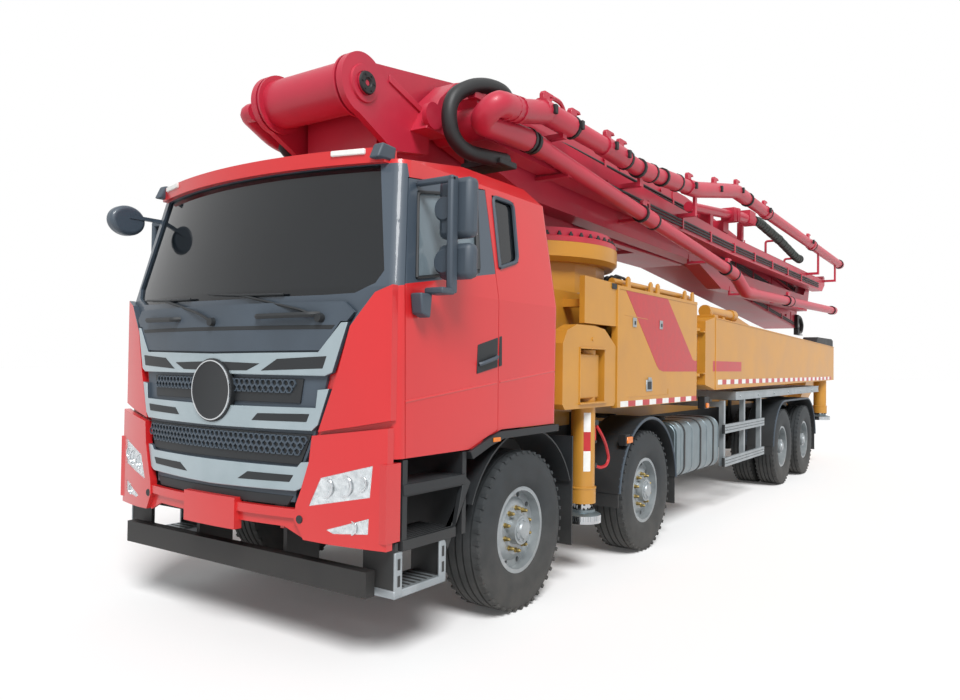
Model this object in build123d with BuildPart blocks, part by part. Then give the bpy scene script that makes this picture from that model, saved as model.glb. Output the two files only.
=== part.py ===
"""Four-axle truck with a folded six-section concrete boom, in millimetres.

+X points to the rear, +Y to the truck's right, +Z up; the ground is Z = 0.
"""
from build123d import *
import os
from math import atan2, cos, degrees, hypot, radians, sin

os.makedirs("parts", exist_ok=True)

# ---- driving sizes ----
length = 14300  # nose of the plate panel to the end of the top delivery pipe
front_overhang = 1620  # nose of the plate panel to the first axle
body_width = 2500
mirror_width = 3000  # over both door mirrors
top_height = 4000  # over the top delivery pipe
axle_spacings = (2150, 5000, 1380)
SIDES = (("left", -1), ("right", 1))
gap = 6  # between panels that open
seat = 0.3  # between pieces of different bodies that rest on each other
pin_play = 0.05  # radial, a pin in its own hole


def station(distance):
    """X of a place given by its distance behind the first axle."""
    return distance + front_overhang - length / 2


def save(part, label):
    part.label = label
    export_step(part, f"parts/{label}.step")


def box(x0, x1, y0, y1, z0, z1, mode=Mode.ADD):
    """A box by its limits, joined to the part under construction."""
    with Locations(((x0 + x1) / 2, (y0 + y1) / 2, (z0 + z1) / 2)):
        Box(abs(x1 - x0), abs(y1 - y0), abs(z1 - z0), mode=mode)


def side_plate(points, y0, y1, mode=Mode.ADD):
    """A plate with an outline in X and Z, between two planes across the truck."""
    with BuildSketch(Plane.XZ.offset(-max(y0, y1))) as outline:
        with BuildLine():
            Polyline(*points, close=True)
        make_face()
    extrude(outline.sketch, amount=abs(y1 - y0), mode=mode)


def cross_pin(x, z, y0, y1, radius, mode=Mode.ADD):
    """A round bar across the truck."""
    with Locations(Location((x, (y0 + y1) / 2, z), (90, 0, 0))):
        Cylinder(radius, abs(y1 - y0), mode=mode)


def post(x, y, z0, z1, radius, mode=Mode.ADD):
    """An upright round bar."""
    with Locations((x, y, (z0 + z1) / 2)):
        Cylinder(radius, z1 - z0, mode=mode)


def tube_run(points, radius, bend):
    """A round pipe along straight runs joined by bends."""
    with BuildLine() as path:
        if len(points) > 2:
            FilletPolyline(*points, radius=bend)
        else:
            Line(*points)
    start = Plane(path.line @ 0, z_dir=path.line % 0)
    with BuildSketch(start) as section:
        Circle(radius)
    sweep(section.sketch, path=path.line)


# ---- wheels ----
tyre_radius = 538
rim_radius = 290
flange_radius = 302
steered_tyre_width = 320
twin_tyre_width = 285
steered_track = 2130
twin_outer_track = 2170
twin_spacing = 330
spindle_radius = 48
drive_spindle_radius = 62
kingpin_y = 880
kingpin_radius = 26
axle_x = [station(0)]
for spacing in axle_spacings:
    axle_x.append(axle_x[-1] + spacing)
steered_axles = (1, 2)
axle_height = tyre_radius
hub_face = 1150


def ring_about_axle(x, profile, mode=Mode.ADD):
    """A body of revolution about a wheel's axle; the profile is (y, radius)."""
    plane = Plane((x, 0, axle_height), x_dir=(0, 1, 0), z_dir=(1, 0, 0))
    with BuildSketch(plane) as section:
        with BuildLine():
            Polyline(*profile, close=True)
        make_face()
    revolve(section.sketch, axis=Axis((x, 0, axle_height), (0, 1, 0)), mode=mode)


def tyre(x, y, width):
    half = width / 2
    shoulder = tyre_radius - 28
    ring_about_axle(x, [
        (y - half * 0.80, rim_radius), (y - half, rim_radius + 95), (y - half, rim_radius + 160),
        (y - half * 0.86, shoulder), (y - half * 0.72, tyre_radius),
        (y + half * 0.72, tyre_radius), (y + half * 0.86, shoulder),
        (y + half, rim_radius + 160), (y + half, rim_radius + 95), (y + half * 0.80, rim_radius)])


def rim(x, y, width, side, disc_y, bore, hub_in, hub_out):
    """Rim well, flanges, dished disc and hub; disc_y is the disc's place across the truck."""
    half = width * 0.40
    well = rim_radius - 14
    for edge in (-1, 1):
        ring_about_axle(x, [
            (y + edge * half, well), (y + edge * half, rim_radius), (y + edge * half * 0.90, rim_radius),
            (y + edge * half * 0.90, well)])
    ring_about_axle(x, [(y - half, well - 12), (y - half, well), (y + half, well), (y + half, well - 12)])
    ring_about_axle(x, [
        (disc_y, 80), (disc_y, 168), (disc_y - side * 30, 215), (disc_y - side * 30, well - 6),
        (disc_y - side * 48, well - 6), (disc_y - side * 48, 208), (disc_y - side * 18, 160),
        (disc_y - side * 18, 80)])
    ring_about_axle(x, [(hub_in, bore), (hub_in, 112), (hub_out, 98), (hub_out, bore)])
    disc_plane = Plane((x, disc_y - side * 39, axle_height), x_dir=(1, 0, 0), z_dir=(0, 1, 0))
    with BuildSketch(disc_plane) as holes:
        with PolarLocations(235, 10):
            Circle(20)
    extrude(holes.sketch, amount=60, both=True, mode=Mode.SUBTRACT)


for number, x in enumerate(axle_x, start=1):
    for name, side in SIDES:
        if number in steered_axles:
            wheel_y = side * steered_track / 2
            with BuildPart() as tyres:
                tyre(x, wheel_y, steered_tyre_width)
            with BuildPart() as rims:
                rim(x, wheel_y, steered_tyre_width, side, wheel_y + side * 90,
                    spindle_radius + pin_play, side * 985, side * (hub_face + 60))
        else:
            outer_y = side * twin_outer_track / 2
            inner_y = outer_y - side * twin_spacing
            with BuildPart() as tyres:
                tyre(x, outer_y, twin_tyre_width)
                tyre(x, inner_y, twin_tyre_width)
            with BuildPart() as rims:
                rim(x, outer_y, twin_tyre_width, side, outer_y - side * 50,
                    drive_spindle_radius + pin_play, side * 800, side * (hub_face + 40))
                rim(x, inner_y, twin_tyre_width, -side, inner_y + side * 50,
                    drive_spindle_radius + pin_play, side * 800, side * 900)
                ring_about_axle(x, [
                    (inner_y + side * 90, 100), (inner_y + side * 90, 180),
                    (outer_y - side * 90, 180), (outer_y - side * 90, 100)])
        save(tyres.part, f"tyre_{number}_{name}")
        save(rims.part, f"rim_{number}_{name}")

# ---- chassis frame ----
rail_outer = 430
rail_flange = 85
rail_thick = 10
rail_bottom = 800
rail_top = 1090
frame_front = station(-1180)
frame_rear = station(10750)
spring_y = 420
cross_members = (-1000, 1750, 3300, 4700, 6300, 7860, 9400, 10600)
cab_mounts = (-1050, 150)
cab_floor = 1140
underrun_x = station(-1400)
underrun_bottom = 400
underrun_top = 540
underrun_half = 1120

with BuildPart() as chassis:
    for name, side in SIDES:
        with BuildSketch(Plane.YZ.offset(frame_front)):
            with BuildLine():
                Polyline(
                    (side * rail_outer, rail_bottom), (side * (rail_outer - rail_flange), rail_bottom),
                    (side * (rail_outer - rail_flange), rail_bottom + rail_thick),
                    (side * (rail_outer - rail_thick), rail_bottom + rail_thick),
                    (side * (rail_outer - rail_thick), rail_top - rail_thick),
                    (side * (rail_outer - rail_flange), rail_top - rail_thick),
                    (side * (rail_outer - rail_flange), rail_top), (side * rail_outer, rail_top),
                    close=True)
            make_face()
        extrude(amount=frame_rear - frame_front)
        box(underrun_x + 20, frame_front + 60, side * 400, side * 430, underrun_bottom + 20, rail_top - 80)
        for place in cab_mounts:
            box(station(place - 50), station(place + 50), side * 380, side * rail_outer,
                rail_top - 1, cab_floor)
    for place in cross_members:
        box(station(place - 60), station(place + 60), -rail_outer + rail_thick, rail_outer - rail_thick,
            rail_bottom + 60, rail_top - 60)
    box(underrun_x - 45, underrun_x + 25, -underrun_half, underrun_half, underrun_bottom, underrun_top)
save(chassis.part, "chassis_frame")

# ---- axles ----
spring_half_width = 45
axle_eye = (470, 606)  # underside and top of a steered axle's end
eye_flat = 95  # from the kingpin inwards, where the yoke's corners turn
spring_table = (  # axle, half length, height of the leaf pack over the axle centre
    (1, 760, 110), (2, 700, 110))

with BuildPart() as axles:
    for number in steered_axles:
        x = axle_x[number - 1]
        with BuildSketch(Plane.YZ.offset(x - 55)):
            with BuildLine():
                Polyline(
                    (-kingpin_y, axle_eye[0]), (eye_flat - kingpin_y, axle_eye[0]), (-650, 370), (650, 370),
                    (kingpin_y - eye_flat, axle_eye[0]), (kingpin_y, axle_eye[0]), (kingpin_y, axle_eye[1]),
                    (kingpin_y - eye_flat, axle_eye[1]), (600, 480), (-600, 480),
                    (eye_flat - kingpin_y, axle_eye[1]),
                    (-kingpin_y, axle_eye[1]), close=True)
            make_face()
        extrude(amount=110)
        for name, side in SIDES:
            post(x, side * kingpin_y, axle_eye[0], axle_eye[1], 60)
            post(x, side * kingpin_y, axle_eye[0] - 10, axle_eye[1] + 10, kingpin_radius + pin_play,
                 mode=Mode.SUBTRACT)
    for number, half_length, rise in spring_table:
        x = axle_x[number - 1]
        for name, side in SIDES:
            y = side * spring_y
            side_plate(
                [(x - half_length, rail_bottom - 70), (x - half_length, rail_bottom - 25),
                 (x, axle_height + rise), (x + half_length, rail_bottom - 25),
                 (x + half_length, rail_bottom - 70), (x + 70, axle_height + rise - 70), (x + 70, 470),
                 (x - 70, 470), (x - 70, axle_height + rise - 70)],
                y - spring_half_width, y + spring_half_width)
            for end in (-1, 1):
                box(x + end * half_length - 35, x + end * half_length + 35, y - 30, y + 30,
                    rail_bottom - 90, rail_bottom)
    for x in axle_x[2:]:
        cross_pin(x, axle_height, -790, 790, 80)
        cross_pin(x, axle_height, -hub_face, hub_face, drive_spindle_radius)
        with Locations((x, 0, axle_height)):
            Sphere(235)
    bogie_x = (axle_x[2] + axle_x[3]) / 2
    for name, side in SIDES:
        y = side * 500
        side_plate(
            [(axle_x[2] - 90, 470), (axle_x[2] + 90, 470), (bogie_x, 640), (axle_x[3] - 90, 470),
             (axle_x[3] + 90, 470), (axle_x[3] + 90, 640), (bogie_x, 760), (axle_x[2] - 90, 640)],
            y - spring_half_width, y + spring_half_width)
        box(bogie_x - 150, bogie_x + 150, side * rail_outer, side * 545, 640, 980)
save(axles.part, "axle_beams")

yoke_top = (axle_eye[1] + 4, 690)  # bottom and top of the knuckle's upper arm
yoke_low = (392, axle_eye[0] - 4)
for number in steered_axles:
    x = axle_x[number - 1]
    for name, side in SIDES:
        with BuildPart() as knuckle:
            for bottom, top in (yoke_low, yoke_top):
                box(x - 60, x + 60, side * (kingpin_y - 55), side * (kingpin_y + 105), bottom, top)
            box(x - 60, x + 60, side * (kingpin_y + 66), side * (kingpin_y + 105), yoke_low[0], yoke_top[1])
            post(x, side * kingpin_y, yoke_low[0], yoke_top[1], kingpin_radius)
            cross_pin(x, axle_height, side * (kingpin_y + 80), side * hub_face, spindle_radius)
            box(x, x + 230, side * (kingpin_y - 45), side * (kingpin_y + 20), yoke_low[0], yoke_low[0] + 40)
        save(knuckle.part, f"knuckle_{number}_{name}")

# ---- engine ----
with BuildPart() as engine:
    box(station(-800), station(560), -340, 340, 600, 1120)
    box(station(560), station(1500), -210, 210, 640, 1010)
    for name, side in SIDES:
        box(station(-300), station(-180), side * 339, side * (rail_outer - rail_thick), 860, 960)
save(engine.part, "engine_block")

# ---- cab ----
cab_sill = 2070
cab_eave = 2810
cab_top = 2945
cab_wall = 60
cab_sections = (  # height, front at the middle, rear, half width, bow of the front
    (cab_floor, -1555, 420, 1240, 200),
    (cab_sill, -1555, 420, 1248, 200),
    (cab_eave, -1400, 405, 1135, 205),
    (cab_top, -640, 390, 985, 165))
cab_front_corner = 85
cab_rear_corner = 70


def cab_block(inset):
    """The cab's outer form, drawn in by an inset on every side."""
    with BuildPart() as block:
        for height, front, rear, half, bow in cab_sections:
            level = height
            if height == cab_floor:
                level = height + inset
            if height == cab_top:
                level = height - inset
            with BuildSketch(Plane.XY.offset(level)):
                with BuildLine():
                    corner_x = station(front + bow + inset)
                    Polyline(
                        (corner_x, half - inset), (station(rear - inset), half - inset),
                        (station(rear - inset), inset - half), (corner_x, inset - half))
                    ThreePointArc(
                        (corner_x, inset - half), (station(front + inset), 0), (corner_x, half - inset))
                make_face()
                fillet(vertices().sort_by(Axis.X)[:2], cab_front_corner - inset)
                fillet(vertices().sort_by(Axis.X)[-2:], cab_rear_corner - inset)
        loft(ruled=True)
    return block.part


cab_outer = cab_block(0)
cab_inner = cab_block(cab_wall)
glass_outer = cab_block(14)
glass_inner = cab_block(20)
door_front = -1275
door_outline = [
    (station(door_front), cab_floor), (station(-680), cab_floor), (station(-500), cab_floor + 60),
    (station(-370), cab_floor + 100), (station(-400), 2780), (station(door_front + 100), 2700),
    (station(door_front - 30), cab_sill)]
door_window = [
    (station(door_front + 65), cab_sill + 50), (station(-570), 2225), (station(-500), 2735),
    (station(door_front + 165), 2640)]
rear_window = [
    (station(-345), 2275), (station(-88), 2341), (station(-56), 2760), (station(-325), 2765)]
screen_outline = (  # half outline, across and up, from the middle of the lower edge
    (0, 2024), (800, 2030), (992, 2037), (1108, 2089), (1146, 2158), (1004, 2780), (0, 2780))


def grown(points, amount):
    """An outline moved outwards from its middle by about an amount on each side."""
    middle_x = sum(p[0] for p in points) / len(points)
    middle_z = sum(p[1] for p in points) / len(points)
    half_x = max(abs(p[0] - middle_x) for p in points)
    half_z = max(abs(p[1] - middle_z) for p in points)
    return [
        (middle_x + (p[0] - middle_x) * (1 + amount / half_x),
         middle_z + (p[1] - middle_z) * (1 + amount / half_z)) for p in points]


def mirrored(half_outline):
    """A closed outline from its right half, which starts and ends at the middle."""
    return list(half_outline) + [(-y, z) for y, z in reversed(half_outline[1:-1])]


def windscreen_cut(mode):
    with BuildSketch(Plane.YZ.offset(station(-1700))) as outline:
        with BuildLine():
            Polyline(*mirrored(screen_outline), close=True)
        make_face()
    extrude(outline.sketch, amount=750, mode=mode)


def front_band(inner, outer, y0, y1, z0, z1, mode=Mode.ADD, section=cab_sections[0]):
    """A band that follows the bow of the cab's front; inner and outer lie ahead of the wall."""
    half = section[3]
    bow = section[4]
    face = station(section[1])
    with BuildSketch(Plane.XY.offset(z0)) as outline:
        with BuildLine():
            ThreePointArc((face + bow - outer, -half), (face - outer, 0), (face + bow - outer, half))
            Line((face + bow - outer, half), (face + bow - inner, half))
            ThreePointArc((face + bow - inner, half), (face - inner, 0), (face + bow - inner, -half))
            Line((face + bow - inner, -half), (face + bow - outer, -half))
        make_face()
        with Locations((face, (y0 + y1) / 2)):
            Rectangle(800, abs(y1 - y0), mode=Mode.INTERSECT)
    extrude(outline.sketch, amount=z1 - z0, mode=mode)


def front_piece(outline, inner, outer):
    """A piece of the front band with an outline given across and up."""
    heights = [p[1] for p in outline]
    widths = [p[0] for p in outline]
    with BuildPart() as piece:
        front_band(inner, outer, min(widths), max(widths), min(heights), max(heights))
        with BuildSketch(Plane.YZ.offset(station(-1800))) as shape:
            with BuildLine():
                Polyline(*outline, close=True)
            make_face()
        extrude(shape.sketch, amount=600, mode=Mode.INTERSECT)
    return piece.part


def both(outline, side):
    """An outline of the right half, put on either side."""
    return [(side * p[0], p[1]) for p in outline]


fairing_outline = [
    (1235, 2076), (1138, 2036), (1042, 1930), (996, 1854), (920, 1580), (810, 1273),
    (1064, 1317), (1235, 1350)]
fairing_stand = 40
roof_lip_stand = 45
roof_lip = (2785, 2870)  # bottom and top of the visor over the windscreen
front_mirror = (-1490, 2625, 128, 104)  # place, height, half length and half height of its head
arch_cut = [
    (station(-680), 1000), (station(-680), 1110), (station(-500), 1200), (station(-320), 1240),
    (station(700), 1240), (station(700), 1000)]
door_inner = cab_sections[0][3] - cab_wall  # the door's inner face, across the truck
with BuildPart() as mirror_head:
    with BuildSketch(Plane.XZ.offset(-1190)):
        with Locations((station(front_mirror[0]), front_mirror[1])):
            Ellipse(front_mirror[2], front_mirror[3])
    extrude(amount=90)
    fillet(mirror_head.edges(), 30)
with BuildPart() as cab_shell:
    add(cab_outer)
    add(cab_inner, mode=Mode.SUBTRACT)
    for name, side in SIDES:
        side_plate(grown(door_outline, gap), side * 900, side * 1400, mode=Mode.SUBTRACT)
        side_plate(rear_window, side * 900, side * 1400, mode=Mode.SUBTRACT)
        box(station(door_front - 25), station(-450), side * 880, side * (door_inner - gap),
            cab_floor, cab_floor + cab_wall)
        side_plate(arch_cut, side * 780, side * 1400, mode=Mode.SUBTRACT)
    windscreen_cut(Mode.SUBTRACT)
    for name, side in SIDES:
        add(front_piece(both(fairing_outline, side), -5, fairing_stand))
    front_band(-60, roof_lip_stand, -1050, 1050, roof_lip[0], roof_lip[1], section=cab_sections[2])
    box(station(front_mirror[0]), station(-1205), 1095, 1120, 2640, 2665)
    add(mirror_head.part)
save(cab_shell.part, "cab_shell")

with BuildPart() as cab_glass:
    add(glass_outer)
    add(glass_inner, mode=Mode.SUBTRACT)
    windscreen_cut(Mode.INTERSECT)
with BuildPart() as quarter_glass:
    add(glass_outer)
    add(glass_inner, mode=Mode.SUBTRACT)
    side_plate(rear_window, -1400, 1400, mode=Mode.INTERSECT)
with BuildPart() as all_glass:
    add(cab_glass.part)
    add(quarter_glass.part)
save(all_glass.part, "cab_glass")

mirror_out = mirror_width / 2
mirror_heads = ((2360, 2700), (2130, 2330))  # bottom and top of the main and the lower glass
mirror_bar = (1380, 1420)
mirror_foot = 1158.2  # where the upper arm meets the door
for name, side in SIDES:
    with BuildPart() as door:
        add(cab_outer)
        add(cab_inner, mode=Mode.SUBTRACT)
        side_plate(door_outline, side * 900, side * 1400, mode=Mode.INTERSECT)
        side_plate(door_window, side * 900, side * 1400, mode=Mode.SUBTRACT)
        box(station(door_front - 60), station(0), side * 800, side * door_inner,
            cab_floor - 1, cab_floor + cab_wall + 1, mode=Mode.SUBTRACT)
    save(door.part, f"door_{name}")
    with BuildPart() as door_glass:
        add(glass_outer)
        add(glass_inner, mode=Mode.SUBTRACT)
        side_plate(door_window, side * 900, side * 1400, mode=Mode.INTERSECT)
    save(door_glass.part, f"door_glass_{name}")
    with BuildPart() as mirror:
        for low, high in mirror_heads:
            box(station(-1060), station(-960), side * 1265, side * mirror_out, low, high)
        box(station(-1125), station(-1058), side * mirror_bar[0], side * mirror_bar[1], 2045, 2700)
        box(station(-1200), station(-1085), side * 1290, side * mirror_bar[1], 2035, 2075)
        box(station(-1270), station(-1170), side * (cab_sections[1][3] + seat), side * 1330, 1900, 2040)
        box(station(-1125), station(-1085), side * mirror_foot, side * mirror_bar[1], 2660, 2700)
    save(mirror.part, f"mirror_{name}")

seat_y = 560
inside_floor = cab_floor + cab_wall
with BuildPart() as interior:
    box(station(-1200), station(-1000), -1050, 1050, inside_floor, 1960)
    box(station(-1330), station(-1190), -960, 960, 1780, 1960)
    for name, side in SIDES:
        y = side * seat_y
        box(station(-480), station(40), y - 230, y + 230, inside_floor + 250, inside_floor + 420)
        box(station(-330), station(-60), y - 150, y + 150, inside_floor, inside_floor + 260)
        box(station(-60), station(80), y - 230, y + 230, inside_floor + 400, inside_floor + 1120)
    with Locations(Location((station(-760), -seat_y, 1960), (0, 65, 0))):
        Torus(215, 16)
        Box(420, 24, 20)
        Box(24, 420, 20)
    with Locations(Location((station(-905), -seat_y, 1890), (0, 65, 0))):
        Cylinder(28, 330)
save(interior.part, "cab_interior")

# ---- cab front ----
grille_seat = 1.7  # between the panel and the cab's front
grille_face = 20
bar_face = 42
grille_bars = (  # half outlines, across and up, from the middle of the top edge
    ((0, 1700), (805, 1712), (945, 1875), (985, 1876), (895, 1600), (850, 1580), (0, 1580)),
    ((0, 1397), (796, 1404), (807, 1504), (877, 1511), (811, 1312), (773, 1277), (0, 1272)),
    ((0, 1070), (680, 1073), (705, 1101), (762, 1105), (713, 958), (670, 938), (0, 925)))
screen_apron = ((0, 1990), (950, 1990), (1018, 1930), (975, 1882), (938, 1882), (815, 1722), (0, 1712))
grille_back = ((0, 1980), (940, 1980), (775, 1250), (715, 1106), (660, 949), (650, 872), (0, 872))


with BuildPart() as grille:
    add(front_piece(mirrored(grille_back), grille_seat, grille_face))
    add(front_piece(mirrored(screen_apron), grille_face - 2, grille_face + 18))
    for bar in grille_bars:
        add(front_piece(mirrored(bar), grille_face - 2, bar_face))
save(grille.part, "grille_panel")

bumper_seat = 12
bumper_face = 60
plate_stand = 5
bumper_corner = [
    (789, 1252), (1235, 1310), (1235, 660), (913, 670), (743, 680), (681, 783), (690, 870), (725, 958),
    (772, 1110)]
bumper_side = (station(-1430), station(-1312))
bumper_side_bottom = 700
bumper_bar = (790, 840)
plate_panel = [(-240, 682), (240, 682), (240, 865), (-240, 865)]
bumper_lip = [
    (-723, 677), (-586, 735), (586, 735), (723, 677), (770, 690), (770, 796), (-770, 796), (-770, 690)]
lamp_recess = 26
lamp_outline = [(849, 1026), (1155, 1109), (1141, 939), (776, 868)]
fog_outline = [(886, 748), (1137, 828), (1133, 743), (929, 730)]
with BuildPart() as bumper:
    front_band(bumper_seat, bumper_face - 8, -706, 706, bumper_bar[0], bumper_bar[1])
    add(front_piece(plate_panel, bumper_seat, bumper_face + plate_stand))
    add(front_piece(bumper_lip, bumper_seat, bumper_face - 30))
    for name, side in SIDES:
        add(front_piece(both(bumper_corner, side), bumper_seat, bumper_face))
        box(bumper_side[0], bumper_side[1], side * 1185, side * 1240, bumper_side_bottom, 1120)
        for outline in (lamp_outline, fog_outline):
            add(front_piece(both(outline, side), bumper_face - lamp_recess, bumper_face + 1),
                mode=Mode.SUBTRACT)
        box(underrun_x - 5, underrun_x + 20, side * 400, side * 430, 680, 780)
        box(underrun_x - 150, underrun_x + 20, side * 400, side * 430, 740, 780)
save(bumper.part, "front_bumper")

with BuildPart() as lamps:
    for name, side in SIDES:
        for outline in (lamp_outline, fog_outline):
            add(front_piece(both(outline, side), bumper_face - lamp_recess, bumper_face - 4))
save(lamps.part, "headlamps")

# ---- steps and mudguards ----
step_table = (  # bottom, top, front, rear, inner side
    (640, 690, -1290, -800, 960), (930, 990, -1290, -700, 1000))
with BuildPart() as steps:
    for name, side in SIDES:
        for bottom, top, front, rear, inner in step_table:
            box(station(front), station(rear), side * inner, side * 1235, bottom, top)
        box(station(-1290), station(-1250), side * 430, side * 1235, 640, 1130)
        box(station(-740), station(-700), side * 800, side * 1235, 640, 1130)
        box(station(-1340), station(-900), side * 1000, side * 1230, 400, 430)
        for x in (-1340, -925):
            box(station(x), station(x + 25), side * 1000, side * 1230, 400, 690)
guard_inner = 640
guard_thick = 25
guard_table = (  # first axle, last axle
    (2, 2), (3, 4))
with BuildPart() as mudguards:
    add(steps.part)
    for first, last in guard_table:
        x0 = axle_x[first - 1]
        x1 = axle_x[last - 1]
        inner = guard_inner
        outer = inner + guard_thick
        for name, side in SIDES:
            with BuildSketch(Plane.XZ.offset(-max(side * 880, side * 1240))):
                for reach, mode in ((outer, Mode.ADD), (inner, Mode.SUBTRACT)):
                    with Locations(((x0 + x1) / 2, axle_height)):
                        if x1 > x0:
                            SlotCenterToCenter(x1 - x0, 2 * reach, mode=mode)
                        else:
                            Circle(reach, mode=mode)
                with Locations(((x0 + x1) / 2, axle_height - 950)):
                    Rectangle(x1 - x0 + 3000, 2000, mode=Mode.SUBTRACT)
            extrude(amount=360)
            for x in (x0, x1):
                cross_pin(x, axle_height + inner + 12, side * rail_outer, side * 900, 22)
                box(x - 30, x + 30, side * rail_outer, side * (rail_outer + 40), rail_top - 200,
                    axle_height + inner + 30)
    for name, side in SIDES:
        box(station(650), station(664), side * 880, side * 1240, 320, 1130)
        cross_pin(station(657), 1080, side * rail_outer, side * 900, 6)
save(mudguards.part, "mudguards_and_steps")

# ---- tanks ----
tank_front = station(2900)
tank_rear = station(4210)
with BuildPart() as tanks:
    for name, side in SIDES:
        with BuildSketch(Plane.YZ.offset(tank_front)):
            with Locations((side * 930, 825)):
                RectangleRounded(560, 560, 120)
        extrude(amount=tank_rear - tank_front)
        for x in (tank_front + 200, tank_rear - 200):
            box(x - 30, x + 30, side * rail_outer, side * 700, 820, 1000)
save(tanks.part, "fuel_tanks")

# ---- outrigger frame, pedestal and subframe ----
front_leg_lean = 20  # degrees that a front leg points forward of straight out
front_leg_width = 260
front_leg_height = 300
front_leg_play = 5
front_box_front = 520
front_box_rear = 2650
front_box_bottom = 1370
front_box_top = 2250
front_box_half = 1010
front_jack_x = 1060
front_jack_y = 1120
leg_levels = {"left": 1420, "right": 1900}  # underside of each front leg
front_jack_tops = {"left": 1780, "right": 2390}
leg_yoke = (  # place, height over the leg's underside: the frame round a front leg's end
    (480, -50), (520, -90), (1360, -90), (1390, -60), (1390, 400), (1180, 530), (1000, 550), (700, 548),
    (550, 500), (480, 400))
leg_yoke_hole = ((750, -50), (1180, -50), (1180, 370), (750, 370))
leg_yoke_inner = 1130
side_face = 1245  # outer face of the frame's side plates
side_plate_rear = 3370  # clear of a rear leg swung out
hood_plate = (  # the side plate over the left leg's yoke
    (820, 1985), (1401, 1985), (1401, 2330), (1360, 2340), (820, 2350))
slew_x = station(1950)
pedestal_radius = 780
pedestal_flange = 900
pedestal_top = 2740
subframe_top = 1500
swing_x = station(3530)
swing_y = 1100
swing_pin_radius = 45
swing_barrel_radius = 80
swing_low = 1330
swing_high = 2290


def front_leg_plane(name, side):
    """Plane across a front leg at its jack; its normal points out along the leg."""
    lean = radians(front_leg_lean)
    out = (-sin(lean), side * cos(lean), 0)
    middle = leg_levels[name] + front_leg_height / 2
    return Plane((station(front_jack_x), side * front_jack_y, middle), x_dir=(0, 0, 1), z_dir=out)


with BuildPart() as frame:
    box(station(front_box_front), station(front_box_rear), -front_box_half, front_box_half,
        front_box_bottom, front_box_top)
    box(station(front_box_front + 60), station(front_box_rear), -rail_outer, rail_outer,
        rail_top, front_box_bottom)
    with BuildSketch(Plane.XY.offset(front_box_top)):
        with Locations((slew_x, 0)):
            RegularPolygon(pedestal_radius, 16)
    extrude(amount=pedestal_top - front_box_top)
    with Locations((slew_x, 0, pedestal_top - 40)):
        Cylinder(pedestal_flange, 80)
    for name, side in SIDES:
        tunnel = front_leg_plane(name, side)
        with BuildSketch(tunnel.offset(-3400)):
            Rectangle(front_leg_height + 2 * seat, front_leg_width + 2 * front_leg_play)
        extrude(amount=4200, mode=Mode.SUBTRACT)
    box(station(front_box_rear), frame_rear, -rail_outer, rail_outer, rail_top, subframe_top)
    for name, side in SIDES:
        for low, high in ((swing_low, swing_low + 120), (swing_high - 120, swing_high)):
            box(station(front_box_rear - 10), swing_x - 95, side * 560, side * (swing_y + 60), low, high)
            box(swing_x - 100, swing_x + 60, side * 560, side * (swing_y + 60), low, high)
            post(swing_x, side * swing_y, low - 5, high + 5, swing_pin_radius + pin_play, Mode.SUBTRACT)
        box(station(front_box_rear - 10), swing_x - 95, side * 560, side * 620, swing_low, swing_high)
        box(station(front_box_rear - 10), swing_x - 95, side * 300, side * 620, swing_low, subframe_top)
        box(station(1400), station(side_plate_rear), side * 1200, side * side_face, 1310, 2330)
        for low in (1500, 2100):
            box(station(1450), station(2640), side * (front_box_half - 1), side * 1201, low, low + 60)
    side_plate([(station(x), z) for x, z in hood_plate], -1200, -side_face)
    box(station(900), station(1000), -front_box_half + 1, -1201, 2120, 2180)
save(frame.part, "outrigger_frame")

front_leg_back = 1900  # how far the leg reaches into its tunnel at rest
front_leg_travel = 1300
jack_radius = 95
jack_rod_radius = 70
front_jack_bottom = 570
front_foot_bottom = 420
for name, side in SIDES:
    leg = front_leg_plane(name, side)
    jack_top = front_jack_tops[name]
    with BuildPart() as front_leg:
        with BuildSketch(leg.offset(-front_leg_back)):
            Rectangle(front_leg_height, front_leg_width)
        extrude(amount=front_leg_back)
        side_plate([(station(x), leg_levels[name] + z) for x, z in leg_yoke],
                   side * leg_yoke_inner, side * side_face)
        side_plate([(station(x), leg_levels[name] + z) for x, z in leg_yoke_hole],
                   side * (front_jack_y + 20), side * (side_face + 1), mode=Mode.SUBTRACT)
        post(station(front_jack_x), side * front_jack_y, front_jack_bottom, jack_top, jack_radius)
        post(station(front_jack_x), side * front_jack_y, front_jack_bottom - 5, jack_top - 140,
             jack_rod_radius + 1, mode=Mode.SUBTRACT)
    save(front_leg.part, f"front_leg_{name}")
    with BuildPart() as jack:
        post(station(front_jack_x), side * front_jack_y, front_foot_bottom, front_jack_bottom + 900,
             jack_rod_radius)
        post(station(front_jack_x), side * front_jack_y, front_foot_bottom, front_foot_bottom + 60, 150)
    save(jack.part, f"front_jack_{name}")

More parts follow.
